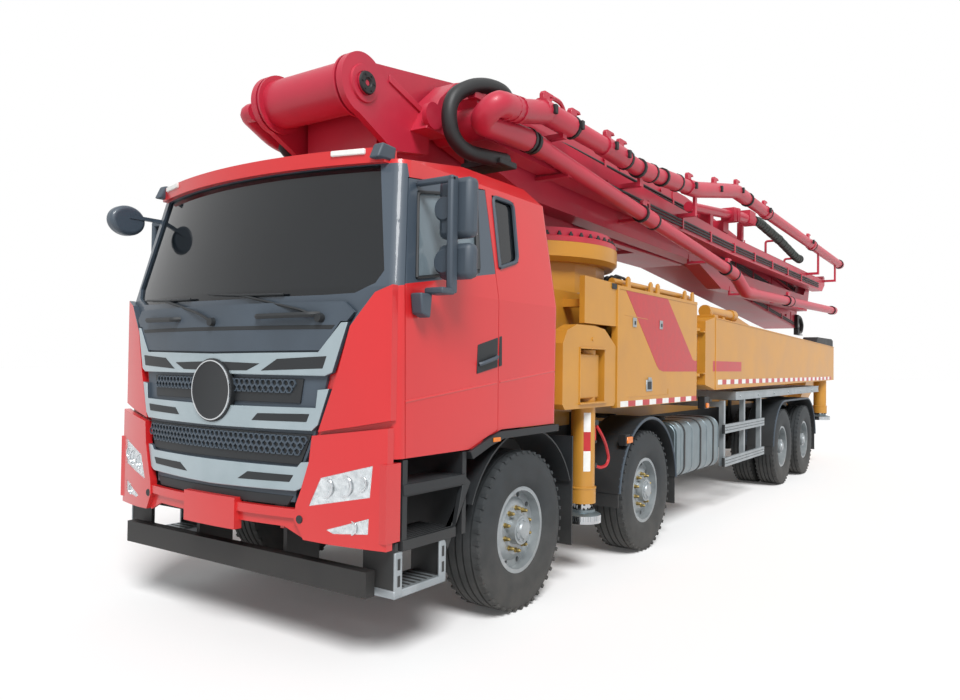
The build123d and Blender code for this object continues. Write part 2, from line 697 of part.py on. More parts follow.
# ---- rear legs ----
rear_leg_front = station(3640)
rear_leg_rear = station(10730)
rear_leg_inner = 985
rear_leg_outer = 1245
rear_leg_ends = ((1410, 2210), (1460, 2060))  # bottom and top at the front, then at the rear
rear_jack_x = station(10230)
rear_jack_y = 1110
rear_jack_bottom = 880
rear_foot_bottom = 760
for name, side in SIDES:
    with BuildPart() as rear_leg:
        side_plate(
            [(rear_leg_front, rear_leg_ends[0][0] + 60), (rear_leg_front + 330, rear_leg_ends[0][0]),
             (rear_leg_rear, rear_leg_ends[1][0]), (rear_leg_rear, rear_leg_ends[1][1]),
             (rear_leg_front + 330, rear_leg_ends[0][1]), (rear_leg_front, rear_leg_ends[0][1] - 60)],
            side * rear_leg_inner, side * rear_leg_outer)
        post(swing_x, side * swing_y, swing_low + 125, swing_high - 125, swing_barrel_radius)
        box(swing_x, rear_leg_front + 20, side * (rear_leg_inner + 40), side * (swing_y + 60),
            swing_low + 160, swing_high - 160)
        post(swing_x, side * swing_y, swing_low, swing_high, swing_pin_radius)
        post(rear_jack_x, side * rear_jack_y, rear_jack_bottom, 2180, jack_radius + 10)
        post(rear_jack_x, side * rear_jack_y, rear_jack_bottom - 5, 2100, jack_rod_radius + 1, Mode.SUBTRACT)
    save(rear_leg.part, f"rear_leg_{name}")
    with BuildPart() as jack:
        post(rear_jack_x, side * rear_jack_y, rear_foot_bottom, 2050, jack_rod_radius)
        post(rear_jack_x, side * rear_jack_y, rear_foot_bottom, rear_foot_bottom + 60, 170)
    save(jack.part, f"rear_jack_{name}")

# ---- walkways, side guards ----
with BuildPart() as walkways:
    for name, side in SIDES:
        box(station(4810), station(9510), side * 560, side * 1225, 1270, 1370)
        for x in (5000, 5800, 6900, 7860, 8800, 9350):
            box(station(x), station(x + 60), side * rail_outer, side * 600, 1200, 1290)
        for low, high in ((520, 620), (900, 1000)):
            box(station(4400), station(6100), side * 1195, side * 1225, low, high)
        for x in (4450, 5250, 6000):
            box(station(x), station(x + 60), side * 1140, side * 1196, 520, 1275)
        box(station(4450), station(4510), side * rail_outer, side * 1196, 1200, 1260)
save(walkways.part, "walkways_and_guards")

# ---- pump and hopper ----
with BuildPart() as pump:
    box(station(5000), station(8200), -380, 380, subframe_top, 1900)
    for name, side in SIDES:
        for x0, x1, radius in ((8200, 10740, 110),):
            with Locations(Location(((station(x0) + station(x1)) / 2, side * 180, 1640), (0, 90, 0))):
                Cylinder(radius, x1 - x0)
save(pump.part, "pump_unit")

hopper_front = station(10780)
hopper_rear = station(11740)
hopper_half = 800
hopper_top = 1500
hopper_bottom = 700
hopper_wall = 12
with BuildPart() as hopper:
    with BuildSketch(Plane.XY.offset(hopper_bottom)):
        with Locations(((hopper_front + hopper_rear) / 2 + 150, 0)):
            Rectangle(500, 900)
    with BuildSketch(Plane.XY.offset(hopper_top)):
        with Locations(((hopper_front + hopper_rear) / 2, 0)):
            Rectangle(hopper_rear - hopper_front, 2 * hopper_half)
    loft()
    box(frame_rear, hopper_front + 200, -rail_outer + 20, rail_outer - 20, 1000, subframe_top - 40)
    with BuildSketch(Plane.XY.offset(hopper_bottom + 30)):
        with Locations(((hopper_front + hopper_rear) / 2 + 150, 0)):
            Rectangle(500 - 2 * hopper_wall, 900 - 2 * hopper_wall)
    with BuildSketch(Plane.XY.offset(hopper_top + 10)):
        with Locations(((hopper_front + hopper_rear) / 2, 0)):
            Rectangle(hopper_rear - hopper_front - 2 * hopper_wall, 2 * (hopper_half - hopper_wall))
    loft(mode=Mode.SUBTRACT)
save(hopper.part, "hopper")

# ---- turret ----
root_x = station(1600)
root_z = 3240
root_radius = 155
root_pin = 60
arm_half = 300
channel_half = 190  # inside the open root of section one
cheek_gap = 15
cheek_thick = 45
turret_deck = 2870
base_x = station(1850)
base_z = 2960
lift_eye_x = station(4000)
lift_eye_z = 3110
lift_pin = 40
lift_barrel = 95
lift_rod = 55

with BuildPart() as turret:
    with Locations((slew_x, 0, (pedestal_top + seat + turret_deck) / 2)):
        Cylinder(840, turret_deck - pedestal_top - seat)
    for name, side in SIDES:
        side_plate(
            [(root_x - 260, turret_deck - 1), (root_x + 900, turret_deck - 1), (root_x + 320, root_z + 40),
             (root_x + 110, root_z + 130), (root_x - 110, root_z + 130), (root_x - 190, root_z)],
            side * (arm_half + cheek_gap), side * (arm_half + cheek_gap + cheek_thick))
        side_plate([(base_x - 130, turret_deck - 1), (base_x + 130, turret_deck - 1),
                    (base_x + 60, base_z + 60), (base_x - 60, base_z + 60)], side * 100, side * 140)
    cross_pin(root_x, root_z, -arm_half - 60, arm_half + 60, root_pin)
    cross_pin(base_x, base_z, -140, 140, lift_pin)
save(turret.part, "turret")

# ---- lift cylinder ----
lift_angle = degrees(atan2(lift_eye_z - base_z, lift_eye_x - base_x))
lift_length = hypot(lift_eye_x - base_x, lift_eye_z - base_z)
barrel_length = 1750
barrel_eye_half = 92


def lift_plane(along):
    """Plane across the lift cylinder, at a distance along it from its base eye."""
    slope = radians(lift_angle)
    return Plane((base_x + along * cos(slope), 0, base_z + along * sin(slope)), x_dir=(0, 1, 0),
                 z_dir=(cos(slope), 0, sin(slope)))


with BuildPart() as barrel:
    with BuildSketch(lift_plane(95)):
        Circle(lift_barrel)
    extrude(amount=barrel_length - 95)
    with BuildSketch(lift_plane(0)):
        Rectangle(2 * barrel_eye_half - 20, 130)
    extrude(amount=100)
    cross_pin(base_x, base_z, -barrel_eye_half, barrel_eye_half, 72)
    with BuildSketch(lift_plane(180)):
        Circle(lift_rod + 1)
    extrude(amount=barrel_length, mode=Mode.SUBTRACT)
    cross_pin(base_x, base_z, -110, 110, lift_pin + pin_play, mode=Mode.SUBTRACT)
save(barrel.part, "lift_barrel")

with BuildPart() as rod:
    with BuildSketch(lift_plane(400)):
        Circle(lift_rod)
    extrude(amount=lift_length - 400 - 30)
    cross_pin(lift_eye_x, lift_eye_z, -70, 70, 68)
save(rod.part, "lift_rod")

# ---- boom ----
# Each joint lies between the section below it and the one above it.
joint_a = (station(12250), 2845)
joint_b = (station(-800), 3490)
joint_c = (station(11800), 3255)
joint_d = (station(100), 3420)
joint_e = (station(12150), 3425)
eye = 130
pin = 45
near_slab = (-580, -380)  # across the truck: sections four and six
far_slab = (-800, -610)  # section five
low_pipe_y = -900
top_pipe_y = -1000
pipe_radius = 76


def at(points):
    return [(station(x), z) for x, z in points]


def eye_plate(place, y0, y1, radius, bore=None):
    """A round end of a section, bored when a pin turns in it."""
    cross_pin(place[0], place[1], y0, y1, radius)
    if bore:
        cross_pin(place[0], place[1], y0 - 1, y1 + 1, bore + pin_play, mode=Mode.SUBTRACT)


with BuildPart() as arm_1:
    side_plate(at([(1600, root_z - 140), (2300, 3020), (5550, 3020), (12000, 2470), (12120, 2500),
                   (12120, 2800), (5500, 3340), (2200, 3400), (1600, root_z + 140)]), -arm_half, arm_half)
    cross_pin(root_x, root_z, -arm_half, arm_half, root_radius)
    box(root_x - root_radius - 10, lift_eye_x + 180, -channel_half, channel_half, 2900, 3290,
        mode=Mode.SUBTRACT)
    cross_pin(root_x, root_z, -arm_half - 1, arm_half + 1, root_pin + pin_play, mode=Mode.SUBTRACT)
    for side in (-1, 1):
        cross_pin(lift_eye_x, lift_eye_z, side * 75, side * (channel_half + 20), 70)
    for side in (-1, 1):
        side_plate([(joint_a[0] - 350, 2600), (joint_a[0] - 150, 2490), (joint_a[0] + 90, joint_a[1] - 40),
                    (joint_a[0], joint_a[1] + 20), (joint_a[0] - 140, 2795)], side * 180, side * 240)
        cross_pin(joint_a[0], joint_a[1], side * 180, side * 240, 100)
    cross_pin(joint_a[0], joint_a[1], -240, 240, pin)
save(arm_1.part, "boom_section_1")

with BuildPart() as arm_2:
    side_plate(at([(-560, 3110), (700, 3150), (1250, 3425), (2200, 3430), (5500, 3370), (12050, 2850),
                   (12050, 3100), (5500, 3660), (2200, 3700), (1000, 3700), (300, 3470), (-560, 3440)]),
               -340, 340)
    side_plate([(joint_a[0] - 400, 2890), (joint_a[0], joint_a[1]), (joint_a[0] + 90, joint_a[1] + 50),
                (joint_a[0] - 60, 3080), (joint_a[0] - 400, 3080)], -165, 165)
    cross_pin(joint_a[0], joint_a[1], -165, 165, 110)
    cross_pin(joint_a[0], joint_a[1], -170, 170, pin + pin_play, mode=Mode.SUBTRACT)
    for side in (-1, 1):
        side_plate([(joint_b[0] - 60, 3300), (joint_b[0] + 300, 3120), (joint_b[0] + 690, 3180),
                    (joint_b[0] + 690, 3440), (joint_b[0] + 130, 3620), (joint_b[0] - 130, 3620)],
                   side * 390, side * 440)
        eye_plate(joint_b, side * 390, side * 440, 205)
        box(joint_b[0] + 300, joint_b[0] + 660, side * 339, side * 391, 3180, 3400)
    cross_pin(joint_b[0], joint_b[1], -470, 470, 75)
save(arm_2.part, "boom_section_2")

with BuildPart() as arm_3:
    side_plate(at([(-700, 3520), (240, 3510), (1000, 3725), (2200, 3725), (5500, 3690), (11900, 3140),
                   (11900, 3390), (5500, 3930), (2000, 3960), (800, 3930), (-300, 3760), (-700, 3700)]),
               -340, 340)
    eye_plate(joint_b, -380, 380, 170, 75)
    cross_pin(joint_c[0], joint_c[1], -590, -320, pin)
save(arm_3.part, "boom_section_3")

low_pipe = [(575, 3369), (2200, 3220), (4290, 3035), (5850, 2890), (6320, 2700), (12600, 2850)]
low_pipe_clips = (  # place, height of the bar to the pipe, height reached on the section's side
    (1200, 3246, 3290), (2900, 3158, 3180), (5000, 2969, 3080), (6700, 2709, 2830), (9000, 2764, 2850),
    (11300, 2819, 2870))
with BuildPart() as arm_4:
    side_plate(at([(200, 3270), (1200, 3060), (5350, 3010), (6300, 2760), (11700, 2790), (11890, 3200),
                   (11750, 3330), (11400, 3080), (6400, 3050), (5350, 3260), (1200, 3330), (250, 3540),
                   (0, 3540), (-20, 3330)]), near_slab[0], near_slab[1])
    eye_plate(joint_c, near_slab[0], near_slab[1], 105, pin)
    eye_plate(joint_d, near_slab[0], near_slab[1], eye)
    cross_pin(joint_d[0], joint_d[1], far_slab[0] - 10, near_slab[0], pin)
    for x, bar_z, seat_z in low_pipe_clips:
        box(station(x - 30), station(x + 30), low_pipe_y, near_slab[0] + 20, bar_z - 15, bar_z + 15)
        box(station(x - 30), station(x + 30), near_slab[0] - 5, near_slab[0] + 20, bar_z - 15, seat_z)
    tube_run([(x, low_pipe_y, z) for x, z in at(low_pipe)], pipe_radius - 6, 160)
save(arm_4.part, "boom_section_4")

top_pipe = [  # place, across, height
    (545, -900, 3372), (-120, -893, 3345), (-120, -1035, 3455), (250, top_pipe_y, 3500),
    (600, top_pipe_y, 3590), (1760, top_pipe_y, 3575), (2430, top_pipe_y, 3545),
    (3980, top_pipe_y, 3650), (5490, top_pipe_y, top_height - pipe_radius),
    (length - front_overhang, top_pipe_y, 3790)]
with BuildPart() as arm_5:
    side_plate(at([(100, 3300), (800, 3280), (6000, 3190), (12000, 3200), (12240, 3340), (12240, 3500),
                   (12000, 3430), (6000, 3430), (800, 3560), (-30, 3560)]), far_slab[0], far_slab[1])
    eye_plate(joint_d, far_slab[0], far_slab[1], eye, pin)
    eye_plate(joint_e, far_slab[0], far_slab[1], 90)
    cross_pin(joint_e[0], joint_e[1], far_slab[1], near_slab[1], 30)
    tube_run([(station(x), y, z) for x, y, z in top_pipe], pipe_radius, 88)
    for x, low, high in ((900, 3460, 3640), (2430, 3380, 3550), (3980, 3350, 3650), (10600, 3380, 3830),
                         (12200, 3400, 3800)):
        box(station(x - 30), station(x + 30), top_pipe_y, far_slab[0] + 20, low, low + 40)
        box(station(x - 30), station(x + 30), top_pipe_y - 15, top_pipe_y + 15, low, high)
save(arm_5.part, "boom_section_5")

hose_y = (far_slab[0] + far_slab[1]) / 2
hose_start = (7400, 3880)
end_pipe = [(4600, 3600), (6300, 3780), hose_start]
with BuildPart() as arm_6:
    side_plate(at([(5300, 3385), (12150, 3385), (12150, 3560), (5300, 3560)]), near_slab[0], near_slab[1])
    eye_plate(joint_e, near_slab[0], near_slab[1], 80, 30)
    tube_run([(x, hose_y, z) for x, z in at(end_pipe)], 60, 300)
    box(station(5320), station(5420), hose_y - 35, near_slab[0] + 10, 3480, 3650)
    box(station(6950), station(7250), hose_y - 80, hose_y + 80, 3770, 3960)
    box(station(7050), station(7150), near_slab[0] - 60, near_slab[0] + 10, 3540, 3800)
save(arm_6.part, "boom_section_6")
hose_mouth = (10500, 3660)
hose_bore = 55
hose_bore_depth = 200
hose_rise = (hose_start[1] - end_pipe[1][1]) / (hose_start[0] - end_pipe[1][0])
end_hose_path = [
    (hose_start[0] + seat, hose_start[1] + seat * hose_rise), (7700, hose_start[1] + 300 * hose_rise),
    (9000, 3805), (10200, hose_mouth[1]), hose_mouth]
with BuildPart() as hose:
    tube_run([(x, hose_y, z) for x, z in at(end_hose_path)], 66, 300)
    with BuildSketch(Plane.YZ.offset(station(hose_mouth[0]))):
        with Locations((hose_y, hose_mouth[1])):
            Circle(hose_bore)
    extrude(amount=-hose_bore_depth, mode=Mode.SUBTRACT)
save(hose.part, "end_hose")

with BuildPart() as grate:
    box(hopper_front, hopper_rear, -hopper_half, hopper_half, hopper_top + seat, hopper_top + 30)
    with Locations(((hopper_front + hopper_rear) / 2, 0, hopper_top + 20)):
        with GridLocations(104, 110, 9, 14):
            Box(84, 90, 60, mode=Mode.SUBTRACT)
save(grate.part, "hopper_grate")
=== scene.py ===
import math
import bpy
from mathutils import Matrix, Vector


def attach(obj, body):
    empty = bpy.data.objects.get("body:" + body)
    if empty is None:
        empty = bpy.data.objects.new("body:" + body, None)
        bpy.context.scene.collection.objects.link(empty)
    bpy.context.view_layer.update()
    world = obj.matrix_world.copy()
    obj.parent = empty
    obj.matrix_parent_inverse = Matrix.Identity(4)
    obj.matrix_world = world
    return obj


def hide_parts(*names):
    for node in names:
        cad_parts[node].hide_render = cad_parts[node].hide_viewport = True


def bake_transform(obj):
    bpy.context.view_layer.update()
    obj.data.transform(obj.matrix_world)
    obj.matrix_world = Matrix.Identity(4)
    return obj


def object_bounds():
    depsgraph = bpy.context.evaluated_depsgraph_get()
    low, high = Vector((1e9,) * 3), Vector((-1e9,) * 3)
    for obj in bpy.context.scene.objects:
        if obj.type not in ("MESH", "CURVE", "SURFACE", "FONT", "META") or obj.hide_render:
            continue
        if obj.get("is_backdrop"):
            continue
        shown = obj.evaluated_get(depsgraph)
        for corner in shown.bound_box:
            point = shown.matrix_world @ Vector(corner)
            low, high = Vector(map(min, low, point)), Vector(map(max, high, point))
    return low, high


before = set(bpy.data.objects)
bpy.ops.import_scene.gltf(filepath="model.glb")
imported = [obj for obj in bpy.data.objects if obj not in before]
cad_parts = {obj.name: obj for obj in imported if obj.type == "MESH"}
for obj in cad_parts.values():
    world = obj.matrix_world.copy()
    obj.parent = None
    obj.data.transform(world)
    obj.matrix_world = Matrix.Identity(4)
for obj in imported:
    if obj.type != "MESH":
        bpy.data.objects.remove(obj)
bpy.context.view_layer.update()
print("frame loaded")

firstAxle = -5.53  # where the first axle stands along X, metres
sides = (("left", -1), ("right", 1))


def station(distance):
    return distance + firstAxle  # metres behind the first axle to X


def spot(place):
    return (station(place[0]), place[1], place[2])


# camera
cameraSet = {"place": (-10.05, -3.961, 1.654), "yaw": 0.6041, "pitch": 0.0189, "roll": 0.0129,
             "lens": 29.09, "farthest": 400}
ahead = Vector((math.cos(cameraSet["yaw"]) * math.cos(cameraSet["pitch"]),
                math.sin(cameraSet["yaw"]) * math.cos(cameraSet["pitch"]), math.sin(cameraSet["pitch"])))
across = ahead.cross(Vector((0, 0, 1))).normalized()
upward = across.cross(ahead)
roll = cameraSet["roll"]
rollAcross = across * math.cos(roll) + upward * math.sin(roll)
rollUp = upward * math.cos(roll) - across * math.sin(roll)
bpy.ops.object.camera_add(location=cameraSet["place"])
camera = bpy.context.object
camera.matrix_world = Matrix.Translation(cameraSet["place"]) @ Matrix((
    (rollAcross.x, rollUp.x, -ahead.x, 0), (rollAcross.y, rollUp.y, -ahead.y, 0),
    (rollAcross.z, rollUp.z, -ahead.z, 0), (0, 0, 0, 1)))
camera.data.lens = cameraSet["lens"]
camera.data.clip_end = cameraSet["farthest"]
bpy.context.scene.camera = camera
bpy.context.scene.view_settings.view_transform = "Standard"
print("camera placed")


# colour and node helpers
def linearColour(hexText):
    channels = [int(hexText[i:i + 2], 16) / 255 for i in (1, 3, 5)]
    return tuple(c / 12.92 if c < 0.04045 else ((c + 0.055) / 1.055) ** 2.4 for c in channels) + (1,)


def addNode(tree, kind, settings=None, values=None, links=None):
    node = tree.nodes.new(kind)
    for key, value in (settings or {}).items():
        setattr(node, key, value)
    for key, value in (values or {}).items():
        node.inputs[key].default_value = value
    for key, source in (links or {}).items():
        tree.links.new(source, node.inputs[key])
    return node


def math2(tree, operation, first, second):  # a Math node on two sockets or values
    links = {i: v for i, v in enumerate((first, second)) if not isinstance(v, (int, float))}
    values = {i: v for i, v in enumerate((first, second)) if isinstance(v, (int, float))}
    return addNode(tree, "ShaderNodeMath", {"operation": operation}, values, links).outputs[0]


# where the grained plastic round the glass begins; a slope is a place across, its height and its rise
windowFrame = {"sillFront": (-1.33, 2.083), "sillRise": 0.162, "pillarBack": -1.17, "roofLow": 2.785,
               "apronTop": 1.85, "slopes": ((0.996, 1.854, 1.28), (1.138, 2.036, 0.41))}


def aboveDoorSill(tree, place):
    parts = addNode(tree, "ShaderNodeSeparateXYZ", links={"Vector": place}).outputs
    rise = math2(tree, "MULTIPLY", math2(tree, "SUBTRACT", parts["X"], station(windowFrame["sillFront"][0])),
                 windowFrame["sillRise"])
    return math2(tree, "GREATER_THAN", math2(tree, "SUBTRACT", parts["Z"], rise), windowFrame["sillFront"][1])


def aroundScreen(tree, place):
    parts = addNode(tree, "ShaderNodeSeparateXYZ", links={"Vector": place}).outputs
    wide = math2(tree, "ABSOLUTE", parts["Y"], 0.0)
    steep, flat = [math2(tree, "ADD", math2(tree, "MULTIPLY", wide, rise), height - aside * rise)
                   for aside, height, rise in windowFrame["slopes"]]
    edge = math2(tree, "MAXIMUM", math2(tree, "MINIMUM", steep, flat), windowFrame["apronTop"])
    high = math2(tree, "GREATER_THAN", parts["Z"], edge)
    low = math2(tree, "LESS_THAN", parts["Z"], windowFrame["roofLow"])
    ahead = math2(tree, "LESS_THAN", parts["X"], station(windowFrame["pillarBack"]))
    return math2(tree, "MULTIPLY", math2(tree, "MULTIPLY", high, low), ahead)


def makeFinish(name, look):
    material = bpy.data.materials.new(name)
    material.use_nodes = True
    tree = material.node_tree
    shader = tree.nodes["Principled BSDF"]
    place = addNode(tree, "ShaderNodeTexCoord").outputs["Object"]
    for socket, key in (("Metallic", "metallic"), ("Coat Weight", "coat"), ("Coat Roughness", "coatRough"),
                        ("Transmission Weight", "through"), ("Sheen Weight", "sheen"), ("Alpha", "alpha")):
        if key in look:
            shader.inputs[socket].default_value = look[key]
    if not look.get("metallic"):
        shader.inputs["IOR"].default_value = look.get("ior", 1.5)
    patches = addNode(tree, "ShaderNodeTexNoise", {}, {"Scale": 1000 / look["patchMm"], "Detail": 5},
                      {"Vector": place}).outputs["Fac"]
    tones = addNode(tree, "ShaderNodeValToRGB", links={"Fac": patches})
    tones.color_ramp.elements[0].position = 0.32
    tones.color_ramp.elements[0].color = linearColour(look["shade"])
    tones.color_ramp.elements[1].position = 0.68
    tones.color_ramp.elements[1].color = linearColour(look["colour"])
    tint = tones.outputs["Color"]
    if "grime" in look:  # road film that thins out upwards
        height = addNode(tree, "ShaderNodeSeparateXYZ", links={"Vector": place}).outputs["Z"]
        low = addNode(tree, "ShaderNodeMapRange", {}, {"From Min": look["grimeTop"], "From Max": 0.1,
                      "To Min": 0.0, "To Max": look["grimeMost"]}, {"Value": height}).outputs["Result"]
        film = addNode(tree, "ShaderNodeMath", {"operation": "MULTIPLY"}, {}, {0: low, 1: patches})
        tint = addNode(tree, "ShaderNodeMix", {"data_type": "RGBA"}, {7: linearColour(look["grime"])},
                       {0: film.outputs[0], 6: tint}).outputs[2]
    rough = addNode(tree, "ShaderNodeMapRange", {}, {"To Min": look["rough"][0], "To Max": look["rough"][1]},
                    {"Value": patches}).outputs["Result"]
    if "over" in look:  # a second moulded colour on the upper part of the same piece
        mask = look["over"](tree, place)
        tint = addNode(tree, "ShaderNodeMix", {"data_type": "RGBA"}, {7: linearColour(look["overColour"])},
                       {0: mask, 6: tint}).outputs[2]
        rough = addNode(tree, "ShaderNodeMix", {"data_type": "FLOAT"}, {3: look["overRough"]},
                        {0: mask, 2: rough}).outputs[0]
    tree.links.new(tint, shader.inputs["Base Color"])
    tree.links.new(rough, shader.inputs["Roughness"])
    normal = None
    for grainMm, depthMm in look.get("grains", ()):
        grain = addNode(tree, "ShaderNodeTexNoise", {}, {"Scale": 1000 / grainMm, "Detail": 2},
                        {"Vector": place}).outputs["Fac"]
        links = {"Height": grain}
        if normal:
            links["Normal"] = normal
        normal = addNode(tree, "ShaderNodeBump", {}, {"Distance": depthMm / 1000}, links).outputs["Normal"]
    if normal:
        tree.links.new(normal, shader.inputs["Normal"])
    return material


finishes = {
    # two-pack acrylic enamel under a clear coat, sprayed: deep even red, sharp pale sky on the shoulders
    "cabEnamel": {"colour": "#CC2226", "shade": "#C42024", "patchMm": 900, "rough": (0.32, 0.42), "coat": 0.4,
                  "coatRough": 0.06, "grains": ((9, 0.02),), "grime": "#A86A5C", "grimeTop": 1.1,
                  "grimeMost": 0.35},
    # machinery enamel, sprayed over welded plate: crimson, softer gloss, faint ripple and dust
    "boomEnamel": {"colour": "#BE263F", "shade": "#AE213A", "patchMm": 500, "rough": (0.4, 0.56),
                   "coat": 0.15, "coatRough": 0.12, "grains": ((60, 0.25), (8, 0.03))},
    # the same enamel in ochre on plate and castings: satin, slightly uneven
    "ochreEnamel": {"colour": "#C48A2C", "shade": "#B7802A", "patchMm": 420, "rough": (0.36, 0.52),
                    "coat": 0.15, "coatRough": 0.12, "grains": ((70, 0.25), (8, 0.03)), "grime": "#8C7448",
                    "grimeTop": 1.6, "grimeMost": 0.5},
    # silver lacquer on moulded ABS: pale cool grey with a fine metallic sparkle
    "silverLacquer": {"colour": "#A2B0B6", "shade": "#95A4AA", "patchMm": 300, "rough": (0.3, 0.4),
                      "metallic": 0.35, "coat": 0.4, "grains": ((1.5, 0.01),)},
    # grained polypropylene, moulded: blue grey, low sheen, a fine leathery grain drawn coarse enough to show
    "greyPolypropylene": {"colour": "#424D58", "shade": "#3A444E", "patchMm": 350, "rough": (0.45, 0.6),
                          "grains": ((3, 0.06),)},
    # the same plastic in black, dulled by road dust low down
    "blackPolypropylene": {"colour": "#1E2225", "shade": "#171A1D", "patchMm": 250, "rough": (0.5, 0.68),
                           "grains": ((3, 0.07),), "grime": "#5A5650", "grimeTop": 0.9, "grimeMost": 0.5},
    # chassis black, brushed on rolled steel: nearly black, uneven, dusty near the ground
    "chassisBlack": {"colour": "#17191B", "shade": "#101214", "patchMm": 200, "rough": (0.45, 0.7),
                     "grains": ((25, 0.2),), "grime": "#514C45", "grimeTop": 0.9, "grimeMost": 0.45},
    # vulcanised natural rubber: charcoal, matt, brown dust worked into it
    "tyreRubber": {"colour": "#303437", "shade": "#25292B", "patchMm": 120, "rough": (0.72, 0.9), "ior": 1.52,
                   "grains": ((6, 0.12),), "grime": "#5C564E", "grimeTop": 0.7, "grimeMost": 0.6},
    # aluminium lacquer on pressed steel wheels: bright silver, softly mottled
    "wheelSilver": {"colour": "#A4ABAE", "shade": "#8E9599", "patchMm": 90, "rough": (0.35, 0.5),
                    "metallic": 0.45, "grains": ((12, 0.08),), "grime": "#8C857A", "grimeTop": 0.8,
                    "grimeMost": 0.35},
    # yellow zinc plate on wheel nuts: brassy and slightly dull
    "zincPlate": {"colour": "#A8945C", "shade": "#7D6C44", "patchMm": 20, "rough": (0.35, 0.5),
                  "metallic": 0.8},
    # chrome plate: a clear mirror, almost colourless
    "chromePlate": {"colour": "#D8DADC", "shade": "#C8CBCE", "patchMm": 200, "rough": (0.06, 0.14),
                    "metallic": 1.0},
    # rolled 5000-series aluminium sheet, mill finish: grey, directional dull shine
    "tankAluminium": {"colour": "#7F8D93", "shade": "#6C797F", "patchMm": 160, "rough": (0.3, 0.48),
                      "metallic": 0.75, "grains": ((14, 0.06),), "grime": "#77726A", "grimeTop": 0.9,
                      "grimeMost": 0.4},
    # extruded aluminium with a dull anodised skin: pale grey
    "extrudedAluminium": {"colour": "#A4ABAF", "shade": "#8F979B", "patchMm": 140, "rough": (0.38, 0.55),
                          "metallic": 0.6, "grains": ((10, 0.05),)},
    # EPDM hose: black, slightly shiny, a fine cloth print
    "hoseRubber": {"colour": "#1B1D1F", "shade": "#131517", "patchMm": 60, "rough": (0.45, 0.6),
                   "grains": ((4, 0.1),)},
    # woven polyester seat cloth: dark grey, soft sheen
    "seatCloth": {"colour": "#3B3F45", "shade": "#2F3338", "patchMm": 40, "rough": (0.85, 0.95), "sheen": 0.3,
                  "grains": ((2.5, 0.15),)},
    # laminated glass, near black and glossy: its dark colour is painted shade of the cab interior behind it
    "screenGlassPaintedShade": {"colour": "#14191D", "shade": "#101418", "patchMm": 900, "rough": (0.02, 0.05),
                    "ior": 1.52, "alpha": 0.92},
    # tempered side glass, clear: its pale grey-blue is a painted reflection of the bright sky
    "sideGlassPaintedSky": {"colour": "#8C9CA5", "shade": "#82929B", "patchMm": 900, "rough": (0.02, 0.05), "ior": 1.52,
                  "alpha": 0.62},
    # clear polycarbonate lamp lens: almost invisible, glossy
    "lampLens": {"colour": "#F0F4F6", "shade": "#E6ECEF", "patchMm": 300, "rough": (0.02, 0.04), "ior": 1.58,
                 "alpha": 0.22},
    # vacuum-metallised lamp bowl: bright mirror, a little hazy
    "lampBowl": {"colour": "#E4E8EA", "shade": "#B6BCC0", "patchMm": 30, "rough": (0.12, 0.25),
                 "metallic": 0.9},
    # amber acrylic marker lens, moulded
    "amberAcrylic": {"colour": "#E07A1C", "shade": "#D26E14", "patchMm": 40, "rough": (0.12, 0.2),
                     "ior": 1.49},
    # retroreflective film in red, and in white: flat saturated colour, satin
    "redFilm": {"colour": "#B8242B", "shade": "#AC2027", "patchMm": 60, "rough": (0.3, 0.4)},
    "whiteFilm": {"colour": "#E8E8E4", "shade": "#DDDEDB", "patchMm": 60, "rough": (0.3, 0.4)},
    # cast red-painted slewing ring, satin
    "ringEnamel": {"colour": "#B92B3A", "shade": "#A92534", "patchMm": 150, "rough": (0.4, 0.55), "coat": 0.2,
                   "grains": ((10, 0.05),)},
    # hard-chromed rod: bright, smooth, a touch of oil
    "rodChrome": {"colour": "#C9CDD0", "shade": "#B5BABE", "patchMm": 120, "rough": (0.12, 0.22),
                  "metallic": 1.0},
    # green nitrile-covered delivery hose, wrapped: dull dark green with wrap marks
    "greenHose": {"colour": "#2E3B36", "shade": "#25302C", "patchMm": 50, "rough": (0.55, 0.7),
                  "grains": ((5, 0.15),)},
}
for name, mask in (("shellEnamel", aroundScreen), ("doorEnamel", aboveDoorSill)):
    # cab enamel below, blue-grey grained plastic round the glass above
    finishes[name] = dict(finishes["cabEnamel"], over=mask, overColour="#3C4854", overRough=0.5, coat=0.35)
made = {name: makeFinish(name, look) for name, look in finishes.items()}
print("finishes made")


# modelling helpers; each place is metres behind the first axle, across and up
def deselectAll():
    if bpy.context.object and bpy.context.object.mode != "OBJECT":
        bpy.ops.object.mode_set(mode="OBJECT")
    bpy.ops.object.select_all(action="DESELECT")


def only(piece):
    deselectAll()
    piece.select_set(True)
    bpy.context.view_layer.objects.active = piece


def tidyMesh(piece, smooth=32):
    only(piece)
    bpy.ops.object.transform_apply(location=True, rotation=True, scale=True)
    bpy.ops.object.mode_set(mode="EDIT")
    bpy.ops.mesh.select_all(action="SELECT")
    bpy.ops.mesh.remove_doubles(threshold=0.00005)
    bpy.ops.mesh.normals_make_consistent(inside=False)
    bpy.ops.object.mode_set(mode="OBJECT")
    bpy.ops.object.shade_smooth_by_angle(angle=math.radians(smooth))
    return piece


def bevelled(piece, width, segments=2, limit=40):
    if width:
        only(piece)
        bevel = piece.modifiers.new("edges", "BEVEL")
        bevel.width = width
        bevel.segments = segments
        bevel.limit_method = "ANGLE"
        bevel.angle_limit = math.radians(limit)
        bpy.ops.object.modifier_apply(modifier=bevel.name)
    return piece


def block(low, high, edge=0.004):
    deselectAll()
    middle = [(a + b) / 2 for a, b in zip(low, high)]
    size = [abs(b - a) for a, b in zip(low, high)]
    bpy.ops.mesh.primitive_cube_add(size=1, location=spot(middle), scale=size)
    return bevelled(tidyMesh(bpy.context.object), edge)


